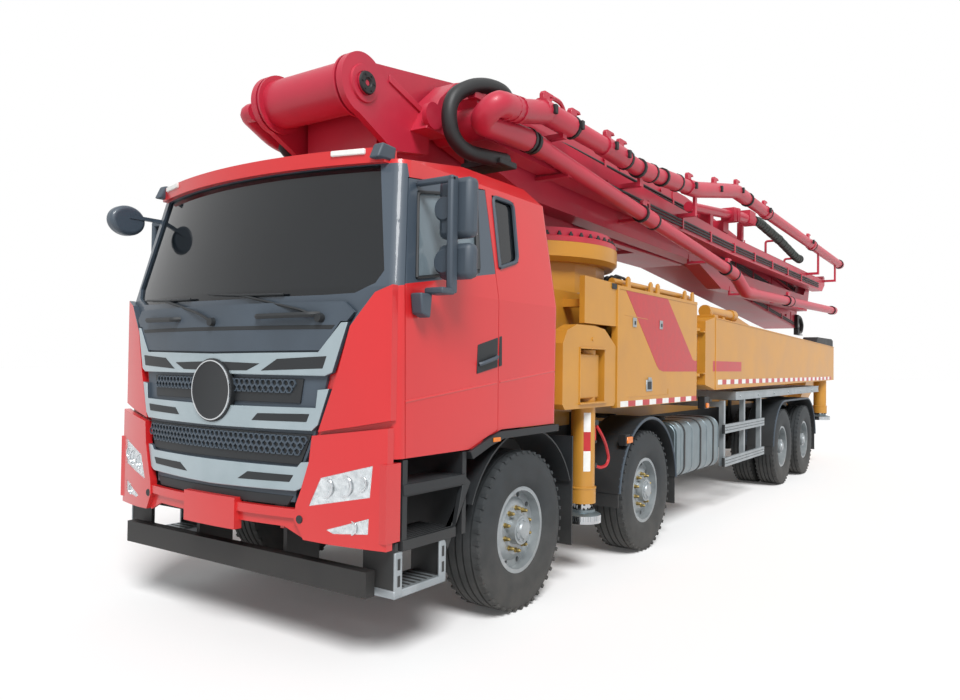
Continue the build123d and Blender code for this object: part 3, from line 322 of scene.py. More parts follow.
def plate(corners, push, edge=0.003):
    deselectAll()
    bpy.ops.mesh.primitive_circle_add(vertices=len(corners), fill_type="NGON")
    piece = bpy.context.object
    for vertex, corner in zip(piece.data.vertices, corners):
        vertex.co = spot(corner)  # the outline's corners, in order
    bpy.ops.object.mode_set(mode="EDIT")
    bpy.ops.mesh.select_all(action="SELECT")
    bpy.ops.mesh.extrude_region_move(TRANSFORM_OT_translate={"value": push})
    bpy.ops.object.mode_set(mode="OBJECT")
    return bevelled(tidyMesh(piece), edge)


def atSide(y, line):  # a line drawn in side view, at one distance across
    return [(x, y, z) for x, z in line]


def rounded(points, bend):
    line = [Vector(points[0])]
    for before, corner, after in zip(points, points[1:], points[2:]):
        corner = Vector(corner)
        back = Vector(before) - corner
        on = Vector(after) - corner
        reach = min(bend, back.length * 0.49, on.length * 0.49)
        start = corner + back.normalized() * reach
        end = corner + on.normalized() * reach
        for step in range(7):
            t = step / 6
            line.append(start * (1 - t) ** 2 + corner * 2 * t * (1 - t) + end * t ** 2)
    line.append(Vector(points[-1]))
    return line


def rod(points, radius, bend=0.0, facets=12):
    deselectAll()
    places = [spot(p) for p in points]
    line = rounded(places, bend) if bend else places
    shape = bpy.data.curves.new("rod", "CURVE")
    shape.dimensions = "3D"
    spline = shape.splines.new("POLY")
    spline.points.add(len(line) - 1)
    for point, place in zip(spline.points, line):
        point.co = (*place, 1)
    shape.bevel_depth = radius
    shape.bevel_resolution = max(0, facets // 4 - 1)
    shape.use_fill_caps = True
    piece = bpy.data.objects.new("rod", shape)
    bpy.context.collection.objects.link(piece)
    only(piece)
    bpy.ops.object.convert(target="MESH")
    return tidyMesh(bpy.context.object, 50)


def turned(profile, centre, axis="Y", facets=32):
    deselectAll()
    bpy.ops.mesh.primitive_circle_add(vertices=len(profile), fill_type="NOTHING")
    piece = bpy.context.object
    centre = spot(centre)
    along = {"X": Vector((1, 0, 0)), "Y": Vector((0, 1, 0)), "Z": Vector((0, 0, 1))}[axis]
    out = {"X": Vector((0, 0, 1)), "Y": Vector((1, 0, 0)), "Z": Vector((1, 0, 0))}[axis]
    for vertex, (reach, radius) in zip(piece.data.vertices, profile):
        vertex.co = Vector(centre) + along * reach + out * radius
    bpy.ops.object.mode_set(mode="EDIT")
    bpy.ops.mesh.select_all(action="SELECT")
    bpy.ops.mesh.spin(steps=facets, angle=2 * math.pi, center=centre, axis=along)
    bpy.ops.object.mode_set(mode="OBJECT")
    return tidyMesh(piece)


def copied(piece, change):
    twin = piece.copy()
    twin.data = piece.data.copy()
    bpy.context.collection.objects.link(twin)
    twin.data.transform(change)
    if change.determinant() < 0:
        tidyMesh(twin)
    return twin


def mirrored(piece):
    return copied(piece, Matrix.Scale(-1, 4, (0, 1, 0)))


def paired(parts):
    return parts + [mirrored(p) for p in parts]


def swapped(parts):
    twins = [mirrored(p) for p in parts]
    for part in parts:
        bpy.data.objects.remove(part)
    return twins


# a bolt head or small cap, from start out to reach, foot wide at its root and rim wide at its end
def knob(place, reach, foot, rim, axis="Y", facets=6, start=0):
    return turned([(start, 0.001), (start, foot), (reach, rim), (reach, 0.001)], place, axis, facets)


def flatRing(place, long, inner, outer, axis, facets):
    return turned([(0, inner), (0, outer), (long, outer), (long, inner)], place, axis, facets)


def ringOf(count, centre, reach, axis, make, phase=0):
    ring = []
    for n in range(count):
        angle = 2 * math.pi * (n + phase) / count
        aside, up = reach * math.cos(angle), reach * math.sin(angle)
        move = (aside, 0, up) if axis == "Y" else (aside, up, 0)
        ring.append(make([a + b for a, b in zip(centre, move)]))
    return ring


def joined(parts):
    deselectAll()
    for part in parts:
        part.select_set(True)
    bpy.context.view_layer.objects.active = parts[0]
    if len(parts) > 1:
        bpy.ops.object.join()
    return bpy.context.object


def together(name, body, finish, parts):
    for part in parts:
        part.data.materials.clear()
    piece = joined(parts)
    piece.name = name.replace(" ", "_")
    piece.data.materials.append(made[finish])
    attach(piece, body)
    return piece


def dress(node, finish):
    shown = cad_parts[node]
    for slot in shown.material_slots:
        slot.material = made[finish]
    if not shown.material_slots:
        shown.data.materials.append(made[finish])


# the CAD pieces' own finishes
nodeFinishes = {
    "cabEnamel": ("front_bumper",),
    "shellEnamel": ("cab_shell",),
    "doorEnamel": ("door_left", "door_right"),
    "boomEnamel": tuple(f"boom_section_{n}" for n in range(1, 7)) + ("turret", "lift_barrel"),
    "ochreEnamel": ("outrigger_frame", "front_leg_left", "front_leg_right", "rear_leg_left", "rear_leg_right",
                    "hopper", "pump_unit"),
    "chassisBlack": ("chassis_frame", "axle_beams", "knuckle_1_left", "knuckle_1_right", "knuckle_2_left",
                     "knuckle_2_right", "engine_block", "hopper_grate"),
    "greyPolypropylene": ("grille_panel",),
    "blackPolypropylene": ("mudguards_and_steps", "mirror_left", "mirror_right"),
    "seatCloth": ("cab_interior",),
    "screenGlassPaintedShade": ("cab_glass",),
    "sideGlassPaintedSky": ("door_glass_left", "door_glass_right"),
    "lampBowl": ("headlamps",),
    "tankAluminium": ("fuel_tanks",),
    "extrudedAluminium": ("walkways_and_guards",),
    "rodChrome": ("lift_rod", "front_jack_left", "front_jack_right", "rear_jack_left", "rear_jack_right"),
    "greenHose": ("end_hose",),
    "tyreRubber": tuple(f"tyre_{n}_{name}" for n in range(1, 5) for name, side in sides),
    "wheelSilver": tuple(f"rim_{n}_{name}" for n in range(1, 5) for name, side in sides),
}
for finish, nodes in nodeFinishes.items():
    for node in nodes:
        dress(node, finish)
print("CAD pieces dressed")


# cab front, following its bow
# the bow's radius in plan, the place of its middle, and how finely a plate is cut to follow it
frontSet = {"bow": 3.944, "face": -1.555, "cuts": 11, "cutPitch": 0.11}


def frontX(y, stand=0.0):
    return frontSet["face"] + frontSet["bow"] - math.sqrt(frontSet["bow"] ** 2 - y * y) - stand


def whole(half):
    return list(half) + [(-y, z) for y, z in reversed(half[1:-1])]


def onFront(piece):
    only(piece)
    bpy.ops.object.mode_set(mode="EDIT")
    for cut in range(-frontSet["cuts"], frontSet["cuts"] + 1):
        bpy.ops.mesh.select_all(action="SELECT")
        bpy.ops.mesh.bisect(plane_co=(0, cut * frontSet["cutPitch"], 0), plane_no=(0, 1, 0))
    bpy.ops.object.mode_set(mode="OBJECT")
    for vertex in piece.data.vertices:
        vertex.co.x += frontX(vertex.co.y)
    return tidyMesh(piece)


def frontPlate(outline, inner, outer, edge=0.002):
    return bevelled(onFront(plate([(-outer, y, z) for y, z in outline], (outer - inner, 0, 0), 0)), edge)


# fascia
fasciaSet = {"barStand": 0.046, "darkStand": 0.0485, "hexAcross": 0.024, "hexWall": 0.007,
             "badge": (0.02, 1.482)}
silverBars = (
    ((0, 1.7), (0.805, 1.712), (0.945, 1.875), (0.985, 1.876), (0.895, 1.6), (0.85, 1.58), (0, 1.58)),
    ((0, 1.397), (0.796, 1.404), (0.807, 1.504), (0.877, 1.511), (0.811, 1.312), (0.773, 1.277), (0, 1.272)),
    ((0, 1.07), (0.68, 1.073), (0.705, 1.101), (0.762, 1.105), (0.713, 0.958), (0.67, 0.938), (0, 0.925)))
darkInsets = (
    ((0.53, 1.672), (0.41, 1.604), (0.838, 1.622), (0.862, 1.69)),
    ((0.391, 1.361), (0.345, 1.319), (0.74, 1.325), (0.758, 1.37)),
    ((0.321, 1.024), (0.241, 0.977), (0.632, 0.987), (0.659, 1.027)))
together("grille bars", "chassis", "silverLacquer",
         [frontPlate(whole(bar), 0.036, fasciaSet["barStand"], 0.005) for bar in silverBars])
insets = []
for inset in darkInsets:
    shape = frontPlate(inset, 0.038, fasciaSet["darkStand"])
    insets += [shape, mirrored(shape)]
for half, inner, outer in (
        (((0, 1.655), (0.4, 1.645), (0.3, 1.604), (0, 1.6)), 0.038, fasciaSet["darkStand"]),
        (((0, 1.861), (0.905, 1.861), (0.885, 1.838), (0, 1.838)), 0.03, 0.04)):
    insets.append(frontPlate(whole(half), inner, outer))
together("grille insets", "chassis", "blackPolypropylene", insets)
together("grille trays", "chassis", "blackPolypropylene",
         [frontPlate(whole(((0, high), (wide, high), (narrow, low), (0, low))), inner, outer)
          for high, low, wide, narrow, inner, outer in ((1.56, 1.425, 0.7, 0.68, 0.015, 0.03),
                                                        (1.255, 1.085, 0.76, 0.69, 0.015, 0.03),
                                                        (0.905, 0.85, 0.64, 0.6, 0.01, 0.024))])


def honeycomb(rows):
    cells = []
    pitch = fasciaSet["hexAcross"] * 1.75
    for height, half, offset in rows:
        count = int(half / pitch)
        deselectAll()
        start = (-0.04, -count * pitch + offset * pitch / 2, height)
        bpy.ops.mesh.primitive_circle_add(vertices=6, radius=fasciaSet["hexAcross"] * 0.78, location=start,
                                          fill_type="NOTHING", rotation=(0, math.radians(90), 0))
        ring = bpy.context.object
        bpy.ops.object.mode_set(mode="EDIT")
        bpy.ops.mesh.extrude_region_move(TRANSFORM_OT_translate={"value": (0.01, 0, 0)})
        bpy.ops.object.mode_set(mode="OBJECT")
        bpy.ops.object.transform_apply(location=True, rotation=True, scale=True)
        wall = ring.modifiers.new("wall", "SOLIDIFY")
        wall.thickness = fasciaSet["hexWall"]
        row = ring.modifiers.new("row", "ARRAY")
        row.count = 2 * count + 1
        row.use_relative_offset = False
        row.use_constant_offset = True
        row.constant_offset_displace = (0, pitch, 0)
        for modifier in ("wall", "row"):
            bpy.ops.object.modifier_apply(modifier=modifier)
        for vertex in ring.data.vertices:
            vertex.co.x += station(frontX(vertex.co.y))
        cells.append(tidyMesh(ring))
    return cells


together("grille honeycomb", "chassis", "greyPolypropylene",
         honeycomb(((1.535, 0.66, 0), (1.503, 0.66, 1), (1.222, 0.73, 0), (1.19, 0.72, 1),
                    (1.158, 0.71, 0))))

badgeStand, badgeZ = fasciaSet["badge"]
for name, finish, profile in (
        ("badge disc", "blackPolypropylene", ((0, 0.001), (0, 0.19), (-0.034, 0.19), (-0.04, 0.172),
                                              (-0.034, 0.158), (-0.034, 0.001))),
        ("badge ring", "chromePlate", ((-0.034, 0.171), (-0.034, 0.182), (-0.043, 0.18), (-0.043, 0.173)))):
    together(name, "chassis", finish, [turned(profile, (frontX(0, badgeStand), 0, badgeZ), "X", 48)])

# lamps
lampSet = {"bowls": ((0.875, 0.975, 0.052), (0.985, 0.99, 0.056), (1.085, 1.01, 0.04),
                     (1.035, 0.77, 0.036)),
           "lenses": (((0.849, 1.026), (1.155, 1.109), (1.141, 0.939), (0.776, 0.868)),
                      ((0.886, 0.748), (1.137, 0.828), (1.133, 0.743), (0.929, 0.73))),
           "bezels": (((0.857, 1.018), (1.147, 1.096), (1.134, 0.949), (0.796, 0.884)),
                      ((0.896, 0.745), (1.13, 0.819), (1.127, 0.747), (0.935, 0.735))),
           "strips": (((0.87, 1.012), (1.14, 1.084), (1.139, 1.07), (0.866, 1.0)),
                      ((0.812, 0.896), (1.126, 0.962), (1.125, 0.95), (0.8, 0.884)))}
bowls, rims = [], []
for y, z, radius in lampSet["bowls"]:
    place = (frontX(y, 0.052), y, z)
    bowls.append(turned([(0.012, 0.001), (0.01, radius * 0.5), (0, radius * 0.9)], place, "X", 24))
    rims.append(turned([(0.001, radius * 0.88), (0.001, radius * 1.08), (-0.007, radius * 1.08),
                        (-0.007, radius * 0.92)], place, "X", 24))
bezels = [frontPlate(outline, 0.03, 0.0525) for outline in lampSet["bezels"]]
strips = [frontPlate(outline, 0.05, 0.055) for outline in lampSet["strips"]]
lenses = [frontPlate(outline, 0.056, 0.06) for outline in lampSet["lenses"]]
towCap = knob((frontX(0.71, 0.06), 0.715, 0.789), -0.003, 0.024, 0.022, "X", 20, 0.004)
for name, parts, finish in (("lamp bezels", bezels, "blackPolypropylene"), ("lamp bowls", bowls, "lampBowl"),
                            ("lamp rims", rims, "chromePlate"), ("lamp strips", strips, "whiteFilm"),
                            ("lamp lenses", lenses, "lampLens"),
                            ("towing caps", [towCap], "blackPolypropylene")):
    together(name, "chassis", finish, paired(parts))

# wipers and grab handles below the screen
wiperSet = {"pivots": ((-0.815, 1.9), (0.015, 1.89)), "armAcross": 0.6192, "blade": (-0.34, 0.3),
            "armReach": 0.009, "bladeReach": 0.007}
wipers = []
for y, z in wiperSet["pivots"]:
    tip = (y + wiperSet["armAcross"], 2.045)
    post = (frontX(y, 0.045), y, z)
    top = (frontX(tip[0], 0.01), *tip)
    wipers.append(knob(post, -0.022, 0.028, 0.024, "X", 16, 0.03))
    elbow = (frontX(y + 0.1, 0.06), y + 0.12, 1.945)
    wipers.append(rod([post, elbow, top], wiperSet["armReach"], 0.03, 8))
    low = (tip[0] + wiperSet["blade"][0], 2.04)
    high = (tip[0] + wiperSet["blade"][1], 2.062)
    wipers.append(rod([(frontX(low[0], 0.012), *low), (frontX(tip[0], 0.016), *tip),
                       (frontX(high[0], 0.006), *high)], wiperSet["bladeReach"], 0, 8))
for side in (-1, 1):
    wipers.append(rod([(frontX(0.37, 0.03), side * 0.37, 1.915), (frontX(0.4, 0.075), side * 0.4, 1.912),
                       (frontX(0.77, 0.075), side * 0.77, 1.918), (frontX(0.8, 0.03), side * 0.8, 1.922)],
                      0.017, 0.03, 10))
together("wipers and handles", "chassis", "blackPolypropylene", wipers)
print("cab front dressed")


# cab sides: pieces are made on the left (negative Y) and mirrored
def sidePlate(points, near, far, edge=0.003):
    return plate(atSide(-far, points), (0, far - near, 0), edge)


def bothSides(name, body, finish, parts):  # one piece on the chassis, else one on each side's own body
    if body == "chassis":
        together(name, body, finish, paired(parts))
        return
    mirror = [mirrored(p) for p in parts]
    together(name + " left", body + "_left", finish, parts)
    together(name + " right", body + "_right", finish, mirror)


# windows, handles and swages
bothSides("door gasket", "door", "blackPolypropylene",
          [rod([(x, -y, z) for x, y, z in (
              (-1.205, 1.243, 2.13), (-0.575, 1.226, 2.233), (-0.508, 1.149, 2.728), (-1.105, 1.162, 2.633),
              (-1.205, 1.243, 2.13))], 0.01, 0.03, 8),
           rod([(-0.59, -1.224, 2.24), (-0.52, -1.15, 2.72)], 0.016, 0, 8)])
bothSides("quarter gasket", "chassis", "greyPolypropylene",
          [rod([(x, -y, z) for x, y, z in (
              (-0.335, 1.219, 2.282), (-0.1, 1.208, 2.349), (-0.07, 1.145, 2.752), (-0.318, 1.143, 2.757),
              (-0.335, 1.219, 2.282))], 0.014, 0.05, 8)])
bothSides("door handle recess", "door", "blackPolypropylene",
          [sidePlate(((-0.618, 1.597), (-0.388, 1.64), (-0.388, 1.829), (-0.611, 1.775)),
                     1.24, 1.2495, 0.004)])
bothSides("door handle bar", "door", "greyPolypropylene",
          [rod([(-0.6, -1.25, 1.655), (-0.575, -1.268, 1.664),
                (-0.425, -1.268, 1.7), (-0.4, -1.25, 1.706)], 0.013, 0.02, 10)])
bothSides("lock recess", "chassis", "blackPolypropylene",
          [sidePlate(((-0.37, 1.644), (-0.338, 1.65), (-0.342, 1.84), (-0.37, 1.833)), 1.238, 1.2495)])
bothSides("door swage", "door", "cabEnamel",
          [rod([(-1.29, -1.2405, 1.447), (-0.395, -1.2405, 1.54)], 0.008, 0, 8)])
bothSides("body swage", "chassis", "cabEnamel",
          [rod([(-0.355, -1.2405, 1.544), (0.36, -1.2405, 1.618)], 0.008, 0, 8)])

# arch trim, liner and marker
archTrim = {"upper": ((-0.69, 1.128), (-0.5, 1.19), (-0.36, 1.228), (0.402, 1.234)),
            "lower": ((0.402, 1.186), (-0.32, 1.181), (-0.47, 1.145), (-0.665, 1.08))}
arch = [sidePlate(archTrim["upper"] + archTrim["lower"], 1.205, 1.262, 0.004)]
deselectAll()
bpy.ops.mesh.primitive_cylinder_add(vertices=48, radius=0.69, depth=0.33, end_fill_type="NOTHING",
                                    location=spot((0, -1.07, 0.538)), rotation=(math.radians(90), 0, 0))
liner = bpy.context.object
bpy.ops.object.transform_apply(location=True, rotation=True, scale=True)
bpy.ops.object.mode_set(mode="EDIT")
bpy.ops.mesh.select_all(action="SELECT")
bpy.ops.mesh.bisect(plane_co=(0, 0, 0.8), plane_no=(0, 0, 1), clear_inner=True)
bpy.ops.object.mode_set(mode="OBJECT")
skin = liner.modifiers.new("skin", "SOLIDIFY")
skin.thickness = 0.012
bpy.ops.object.modifier_apply(modifier="skin")
arch.append(tidyMesh(liner))
bothSides("arch trim", "chassis", "blackPolypropylene", arch)
bothSides("arch marker", "chassis", "amberAcrylic",
          [block((-0.452, -1.27, 1.168), (-0.372, -1.26, 1.196))])

# steps
# each tread: its height, its front and rear, and how far in it begins
stepSet = {"treads": ((0.69, -1.285, -0.805, 0.965), (0.99, -1.285, -0.705, 1.005)), "ribs": 9,
           "hangers": (-1.345, -0.955), "slots": 8, "slotPitch": 0.05}
ribs = []
for top, front, rear, inner in stepSet["treads"]:
    for count in range(stepSet["ribs"]):
        y = inner + (1.228 - inner) * (count + 0.5) / stepSet["ribs"]
        ribs.append(block((front + 0.01, -y - 0.006, top), (rear - 0.01, -y + 0.006, top + 0.008),
                          0.002))
    ribs.append(block((front, -1.2415, top - 0.052), (rear, -1.23, top + 0.006), 0.004))
bothSides("step treads", "chassis", "blackPolypropylene", ribs)
hang = [block((-1.348, -1.236, 0.392), (-0.892, -0.994, 0.436), 0.006)]
# the slots are thin black plates on the step's faces: painted shade in the openings
slots = []
for x in stepSet["hangers"]:
    hang.append(block((x, -1.238, 0.4), (x + 0.062, -1.222, 0.64), 0.006))
    slots += [block((x + 0.02, -1.2395, z), (x + 0.042, -1.2375, z + 0.06), 0.001)
              for z in (0.455, 0.545)]
for count in range(stepSet["slots"]):
    x = -1.3 + count * stepSet["slotPitch"]
    slots.append(block((x, -1.21, 0.4355), (x + 0.022, -1.02, 0.4375), 0.001))
bothSides("hanging step", "chassis", "extrudedAluminium", hang)
bothSides("hanging step slot shade", "chassis", "blackPolypropylene", slots)
bothSides("step side panel", "chassis", "blackPolypropylene",
          [sidePlate(((-0.72, 0.99), (-0.655, 0.94), (-0.88, 0.575), (-0.915, 0.64), (-0.8, 0.7)),
                     1.205, 1.238)])

# mirrors
mirrorSet = {"heads": ((2.36, 2.7), (2.13, 2.33)), "paneRim": 0.022}
for name, side in sides:
    heads = [block((-1.06, -1.498, low), (-0.962, -1.268, high), 0.034)
             for low, high in mirrorSet["heads"]]
    heads += [block((-1.125, -1.42, 2.045), (-1.062, -1.38, 2.7), 0.012),
              block((-1.2, -1.42, 2.037), (-1.085, -1.29, 2.073), 0.01),
              block((-1.125, -1.42, 2.662), (-1.085, -1.16, 2.698), 0.012),
              sidePlate(((-1.27, 2.04), (-1.17, 2.04), (-1.185, 1.905), (-1.255, 1.925)),
                        1.25, 1.33, 0.01)]
    for low, high in mirrorSet["heads"]:
        heads.append(knob((-1.062, -1.32, (low + high) / 2), -0.012, 0.075, 0.062, "X", 24, 0.004))
    rim = mirrorSet["paneRim"]
    panes = [block((-0.966, -1.478, low + rim), (-0.957, -1.288, high - rim), 0.004)
             for low, high in mirrorSet["heads"]]
    if side > 0:
        heads = swapped(heads)
        panes = swapped(panes)
    body = together("mirror " + name, "door_" + name, "greyPolypropylene", heads)
    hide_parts("mirror_" + name)
    together("mirror glass " + name, "door_" + name, "chromePlate", panes)

# roof
bothSides("roof lamps", "chassis", "whiteFilm",
          [plate([(x, y, 2.834) for x, y in ((-1.376, -0.73), (-1.32, -0.94), (-1.29, -0.94),
                                             (-1.345, -0.73))], (0, 0, 0.033), 0.006)])
bothSides("roof corners", "chassis", "greyPolypropylene",
          [sidePlate(((-1.335, 2.8), (-1.19, 2.8), (-1.175, 2.885), (-1.29, 2.892)),
                     0.985, 1.06, 0.012)])
together("front mirror glass", "chassis", "chromePlate",
         [knob((-1.49, 1.191, 2.625), 0.004, 0.09, 0.085, "Y", 32)])
print("cab sides dressed")


# wheels
wheelSet = {"axles": (0.0, 2.15, 7.15, 8.53), "height": 0.538, "lugs": 44, "lugHalf": 0.013, "nuts": 10,
            "nutCircle": 0.143, "capBolts": 8, "boltCircle": 0.07}
tyreSet = {
    "single": {"x": 0.0, "y": -1.065, "width": 0.32, "inward": (0,), "disc": 1.155, "hub": 1.21},
    "twin": {"x": 7.15, "y": -1.085, "width": 0.285, "inward": (0, 0.33), "disc": 1.035, "hub": 1.19}}
# half of the tread and wall in section: share of the half width, and radius
treadHalf = ((0.12, 0.538), (0.14, 0.522), (0.2, 0.522), (0.22, 0.538), (0.5, 0.538), (0.52, 0.522),
             (0.58, 0.522), (0.6, 0.536), (0.84, 0.529), (0.9, 0.512), (0.925, 0.487), (0.955, 0.47),
             (0.985, 0.455), (1.0, 0.42), (0.99, 0.365), (0.93, 0.318), (0.8, 0.291))


def tyreShape(kind):
    x, y, half, height = kind["x"], kind["y"], kind["width"] / 2, wheelSet["height"]
    profile = [(-share * half, radius) for share, radius in reversed(treadHalf)]
    profile += [(share * half, radius) for share, radius in treadHalf]
    parts = [turned(profile, (x, y, height), "Y", 72)]
    centre = Matrix.Translation(spot((x, 0, height)))
    for edge in (-1, 1):
        lug = block((x - wheelSet["lugHalf"], y + edge * half * 0.66, height + 0.515),
                    (x + wheelSet["lugHalf"], y + edge * half * 0.935, height + 0.535), 0.002)
        for n in range(wheelSet["lugs"]):
            turn = Matrix.Rotation(2 * math.pi * n / wheelSet["lugs"], 4, "Y")
            parts.append(copied(lug, centre @ turn @ centre.inverted()))
        bpy.data.objects.remove(lug)
    return joined(parts)


def wheelNuts(x, side, disc):
    shape = [(0, 0.001), (0, 0.019), (side * 0.006, 0.019), (side * 0.006, 0.0145), (side * 0.03, 0.0135),
             (side * 0.042, 0.008), (side * 0.042, 0.001)]
    return ringOf(wheelSet["nuts"], (x, side * disc, wheelSet["height"]), wheelSet["nutCircle"], "Y",
                  lambda place: turned(shape, place, "Y", 6), 0.5)


def hubCap(x, side, hub):
    height = wheelSet["height"]
    cap = turned([(0, 0.001), (0, 0.08), (side * 0.006, 0.08), (side * 0.01, 0.06), (side * 0.022, 0.054),
                  (side * 0.024, 0.001)], (x, side * hub, height), "Y", 32)
    return [cap] + ringOf(wheelSet["capBolts"], (x, side * (hub + 0.005), height), wheelSet["boltCircle"],
                          "Y", lambda place: knob(place, side * 0.008, 0.0075, 0.007))


for kind in tyreSet.values():
    kind["shape"] = tyreShape(kind)
for number, x in enumerate(wheelSet["axles"], start=1):
    kind = tyreSet["single" if number <= 2 else "twin"]
    for name, side in sides:
        shapes = [copied(kind["shape"], Matrix.Translation((x - kind["x"], y, 0))) for y in kind["inward"]]
        if side > 0:
            shapes = swapped(shapes)
        body = f"wheel_{number}_{name}"
        tyre = together(f"tyre {number} {name}", body, "tyreRubber", shapes)
        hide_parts(f"tyre_{number}_{name}")
        together(f"wheel nuts {number} {name}", body, "zincPlate", wheelNuts(x, side, kind["disc"]))
        together(f"hub cap {number} {name}", body, "wheelSilver", hubCap(x, side, kind["hub"]))
for kind in tyreSet.values():
    bpy.data.objects.remove(kind["shape"])
print("wheels dressed")


# outrigger frame and rear beams: stripes, tapes, locks and brackets
filmSet = {"face": 1.245, "thick": 0.0012, "step": 0.153}  # stripes and tapes lie on this face of the steel


def tape(name, body, start, end, low, high):
    count = int((end - start) / filmSet["step"] + 0.5)
    width = (end - start) / count
    for phase, finish in ((0, "whiteFilm"), (1, "redFilm")):
        parts = [block((start + n * width, -filmSet["face"] - filmSet["thick"], low),
                       (start + (n + 1) * width, -filmSet["face"], high), 0)
                 for n in range(phase, count, 2)]
        bothSides(f"{name} {finish}", body, finish, parts)


stripeSet = {"frame": ((1.58, 2.303), (2.546, 2.301), (3.193, 1.78), (3.245, 1.735), (3.3, 1.722),
                       (3.368, 1.722), (3.368, 1.612), (2.435, 1.612), (2.34, 1.63), (2.286, 1.663)),
             "beam": ((3.892, 1.727), (4.963, 1.727), (4.963, 1.613), (3.892, 1.613))}
for part, body in (("frame", "chassis"), ("beam", "rear_leg")):
    bothSides(part + " stripe", body, "redFilm",
              [sidePlate(stripeSet[part], filmSet["face"], filmSet["face"] + filmSet["thick"], 0)])
tape("frame tape", "chassis", 1.49, 3.366, 1.314, 1.362)
tape("beam tape", "rear_leg", 4.07, 10.49, 1.466, 1.52)

lockSet = {"latches": ((1.764, 2.037), (2.375, 2.045)), "lock": (2.1, 1.487)}
# the wells are thin black plates on the latch faces: painted shade in the latch recesses
locks, wells = [], []
for x, z in lockSet["latches"]:
    locks.append(block((x - 0.036, -1.254, z - 0.04), (x + 0.036, -1.244, z + 0.04), 0.01))
    wells.append(block((x - 0.016, -1.2555, z - 0.02), (x + 0.016, -1.2535, z + 0.012), 0.004))
x, z = lockSet["lock"]
locks.append(block((x - 0.068, -1.252, z - 0.052), (x + 0.068, -1.244, z + 0.052), 0.008))
locks.append(block((x - 0.03, -1.262, z + 0.04), (x + 0.03, -1.244, z + 0.072), 0.006))
wells.append(block((x - 0.046, -1.2535, z - 0.036), (x + 0.046, -1.2515, z + 0.034), 0.006))
bothSides("frame locks", "chassis", "wheelSilver", locks)
bothSides("frame lock well shade", "chassis", "blackPolypropylene", wells)
bothSides("frame seams", "chassis", "ochreEnamel",
          [rod(((1.642, -1.245, 1.395), (2.567, -1.245, 1.395), (2.567, -1.245, 1.45)), 0.003, 0, 8),
           rod(((1.56, -1.245, 2.09), (2.06, -1.245, 2.08)), 0.0025, 0, 8),
           sidePlate(((1.402, 2.33), (3.368, 2.33), (3.368, 2.3), (1.402, 2.3)), 1.242, 1.25, 0.003),
           sidePlate(((1.402, 2.33), (1.44, 2.33), (1.44, 1.312), (1.402, 1.312)), 1.242, 1.256, 0.003)])
bothSides("frame corner stops", "chassis", "blackPolypropylene",
          [block((1.3, -1.256, 2.29), (1.385, -1.244, 2.336), 0.006)])

# along the top edge of the frame: a tube, its lugs and hoses
topSet = {"lugs": (1.69, 2.19, 2.36, 3.08, 3.3), "height": 2.376, "hoses": (0.7, 0.76, 0.82, 0.88),
          "hoseReach": 0.013, "clips": (1.45, 2.0, 2.5)}
lugs = [rod([(1.5, -1.15, topSet["height"]), (3.34, -1.15, topSet["height"])], 0.03)]
for x in topSet["lugs"]:
    lugs.append(sidePlate(((x - 0.04, 2.32), (x + 0.04, 2.32), (x + 0.03, 2.41), (x, 2.43),
                           (x - 0.03, 2.41)), 1.205, 1.228, 0.004))
    lugs.append(block((x - 0.02, -1.215, 2.24), (x + 0.02, -1.12, 2.36), 0.004))
    lugs.append(block((x - 0.02, -1.13, 2.24), (x + 0.02, -0.99, 2.262), 0.004))
bothSides("frame lifting lugs", "chassis", "ochreEnamel", lugs)
hoses = []
for count, y in enumerate(topSet["hoses"]):
    hoses.append(rod([(1.1 + 0.1 * count, -y, 2.262), (2.6, -y, 2.262),
                      (2.66, -y, 2.235), (2.66, -y, 1.5)], topSet["hoseReach"], 0.05, 10))
bothSides("frame hoses", "chassis", "hoseRubber", hoses)
clips = [block((x - 0.015, -0.9, 2.249), (x + 0.015, -0.68, 2.282), 0.003) for x in topSet["clips"]]
bothSides("frame hose clips", "chassis", "wheelSilver", clips)

# swing hinge between frame and beam
hinge = [flatRing((3.53, -1.1, z), 0.03, 0.07, 0.118, "Z", 32) for z in (1.56, 2.04)]
for low, high in ((1.585, 1.6), (2.025, 2.04)):
    hinge.append(block((3.6, -1.244, low), (3.99, -1.18, high), 0.004))
hinge.append(block((3.98, -1.235, 2.195), (4.1, -1.0, 2.24), 0.006))
barrel = [rod([(4.02, -1.11, 2.285), (5.0, -1.11, 2.285)], 0.06, 0, 24),
          rod([(4.9, -1.11, 2.285), (5.04, -1.11, 2.285)], 0.072, 0, 24),
          rod([(4.005, -1.11, 2.285), (4.07, -1.11, 2.285)], 0.07, 0, 24),
          sidePlate(((5.0, 2.3), (5.06, 2.3), (6.2, 2.14), (5.0, 2.15)), 1.09, 1.13, 0.004),
          block((4.5, -1.17, 2.18), (4.56, -1.05, 2.24), 0.004),
          block((4.03, -1.18, 2.19), (4.09, -1.04, 2.3), 0.008)]
bothSides("swing cylinder", "rear_leg", "ochreEnamel", hinge + barrel)
# a dark sleeve round the hinge barrel: painted shade in the opening between frame and beam
bothSides("swing hinge shade sleeve", "rear_leg", "hoseRubber",
          [flatRing((3.53, -1.1, 1.595), 0.43, 0.078, 0.088, "Z", 32)])
bothSides("swing pins", "chassis", "rodChrome",
          [turned([(0, 0.001), (0, 0.052), (0.022, 0.052), (0.028, 0.046), (0.028, 0.001)],
                  (3.53, -1.1, 2.289), "Z", 24)])

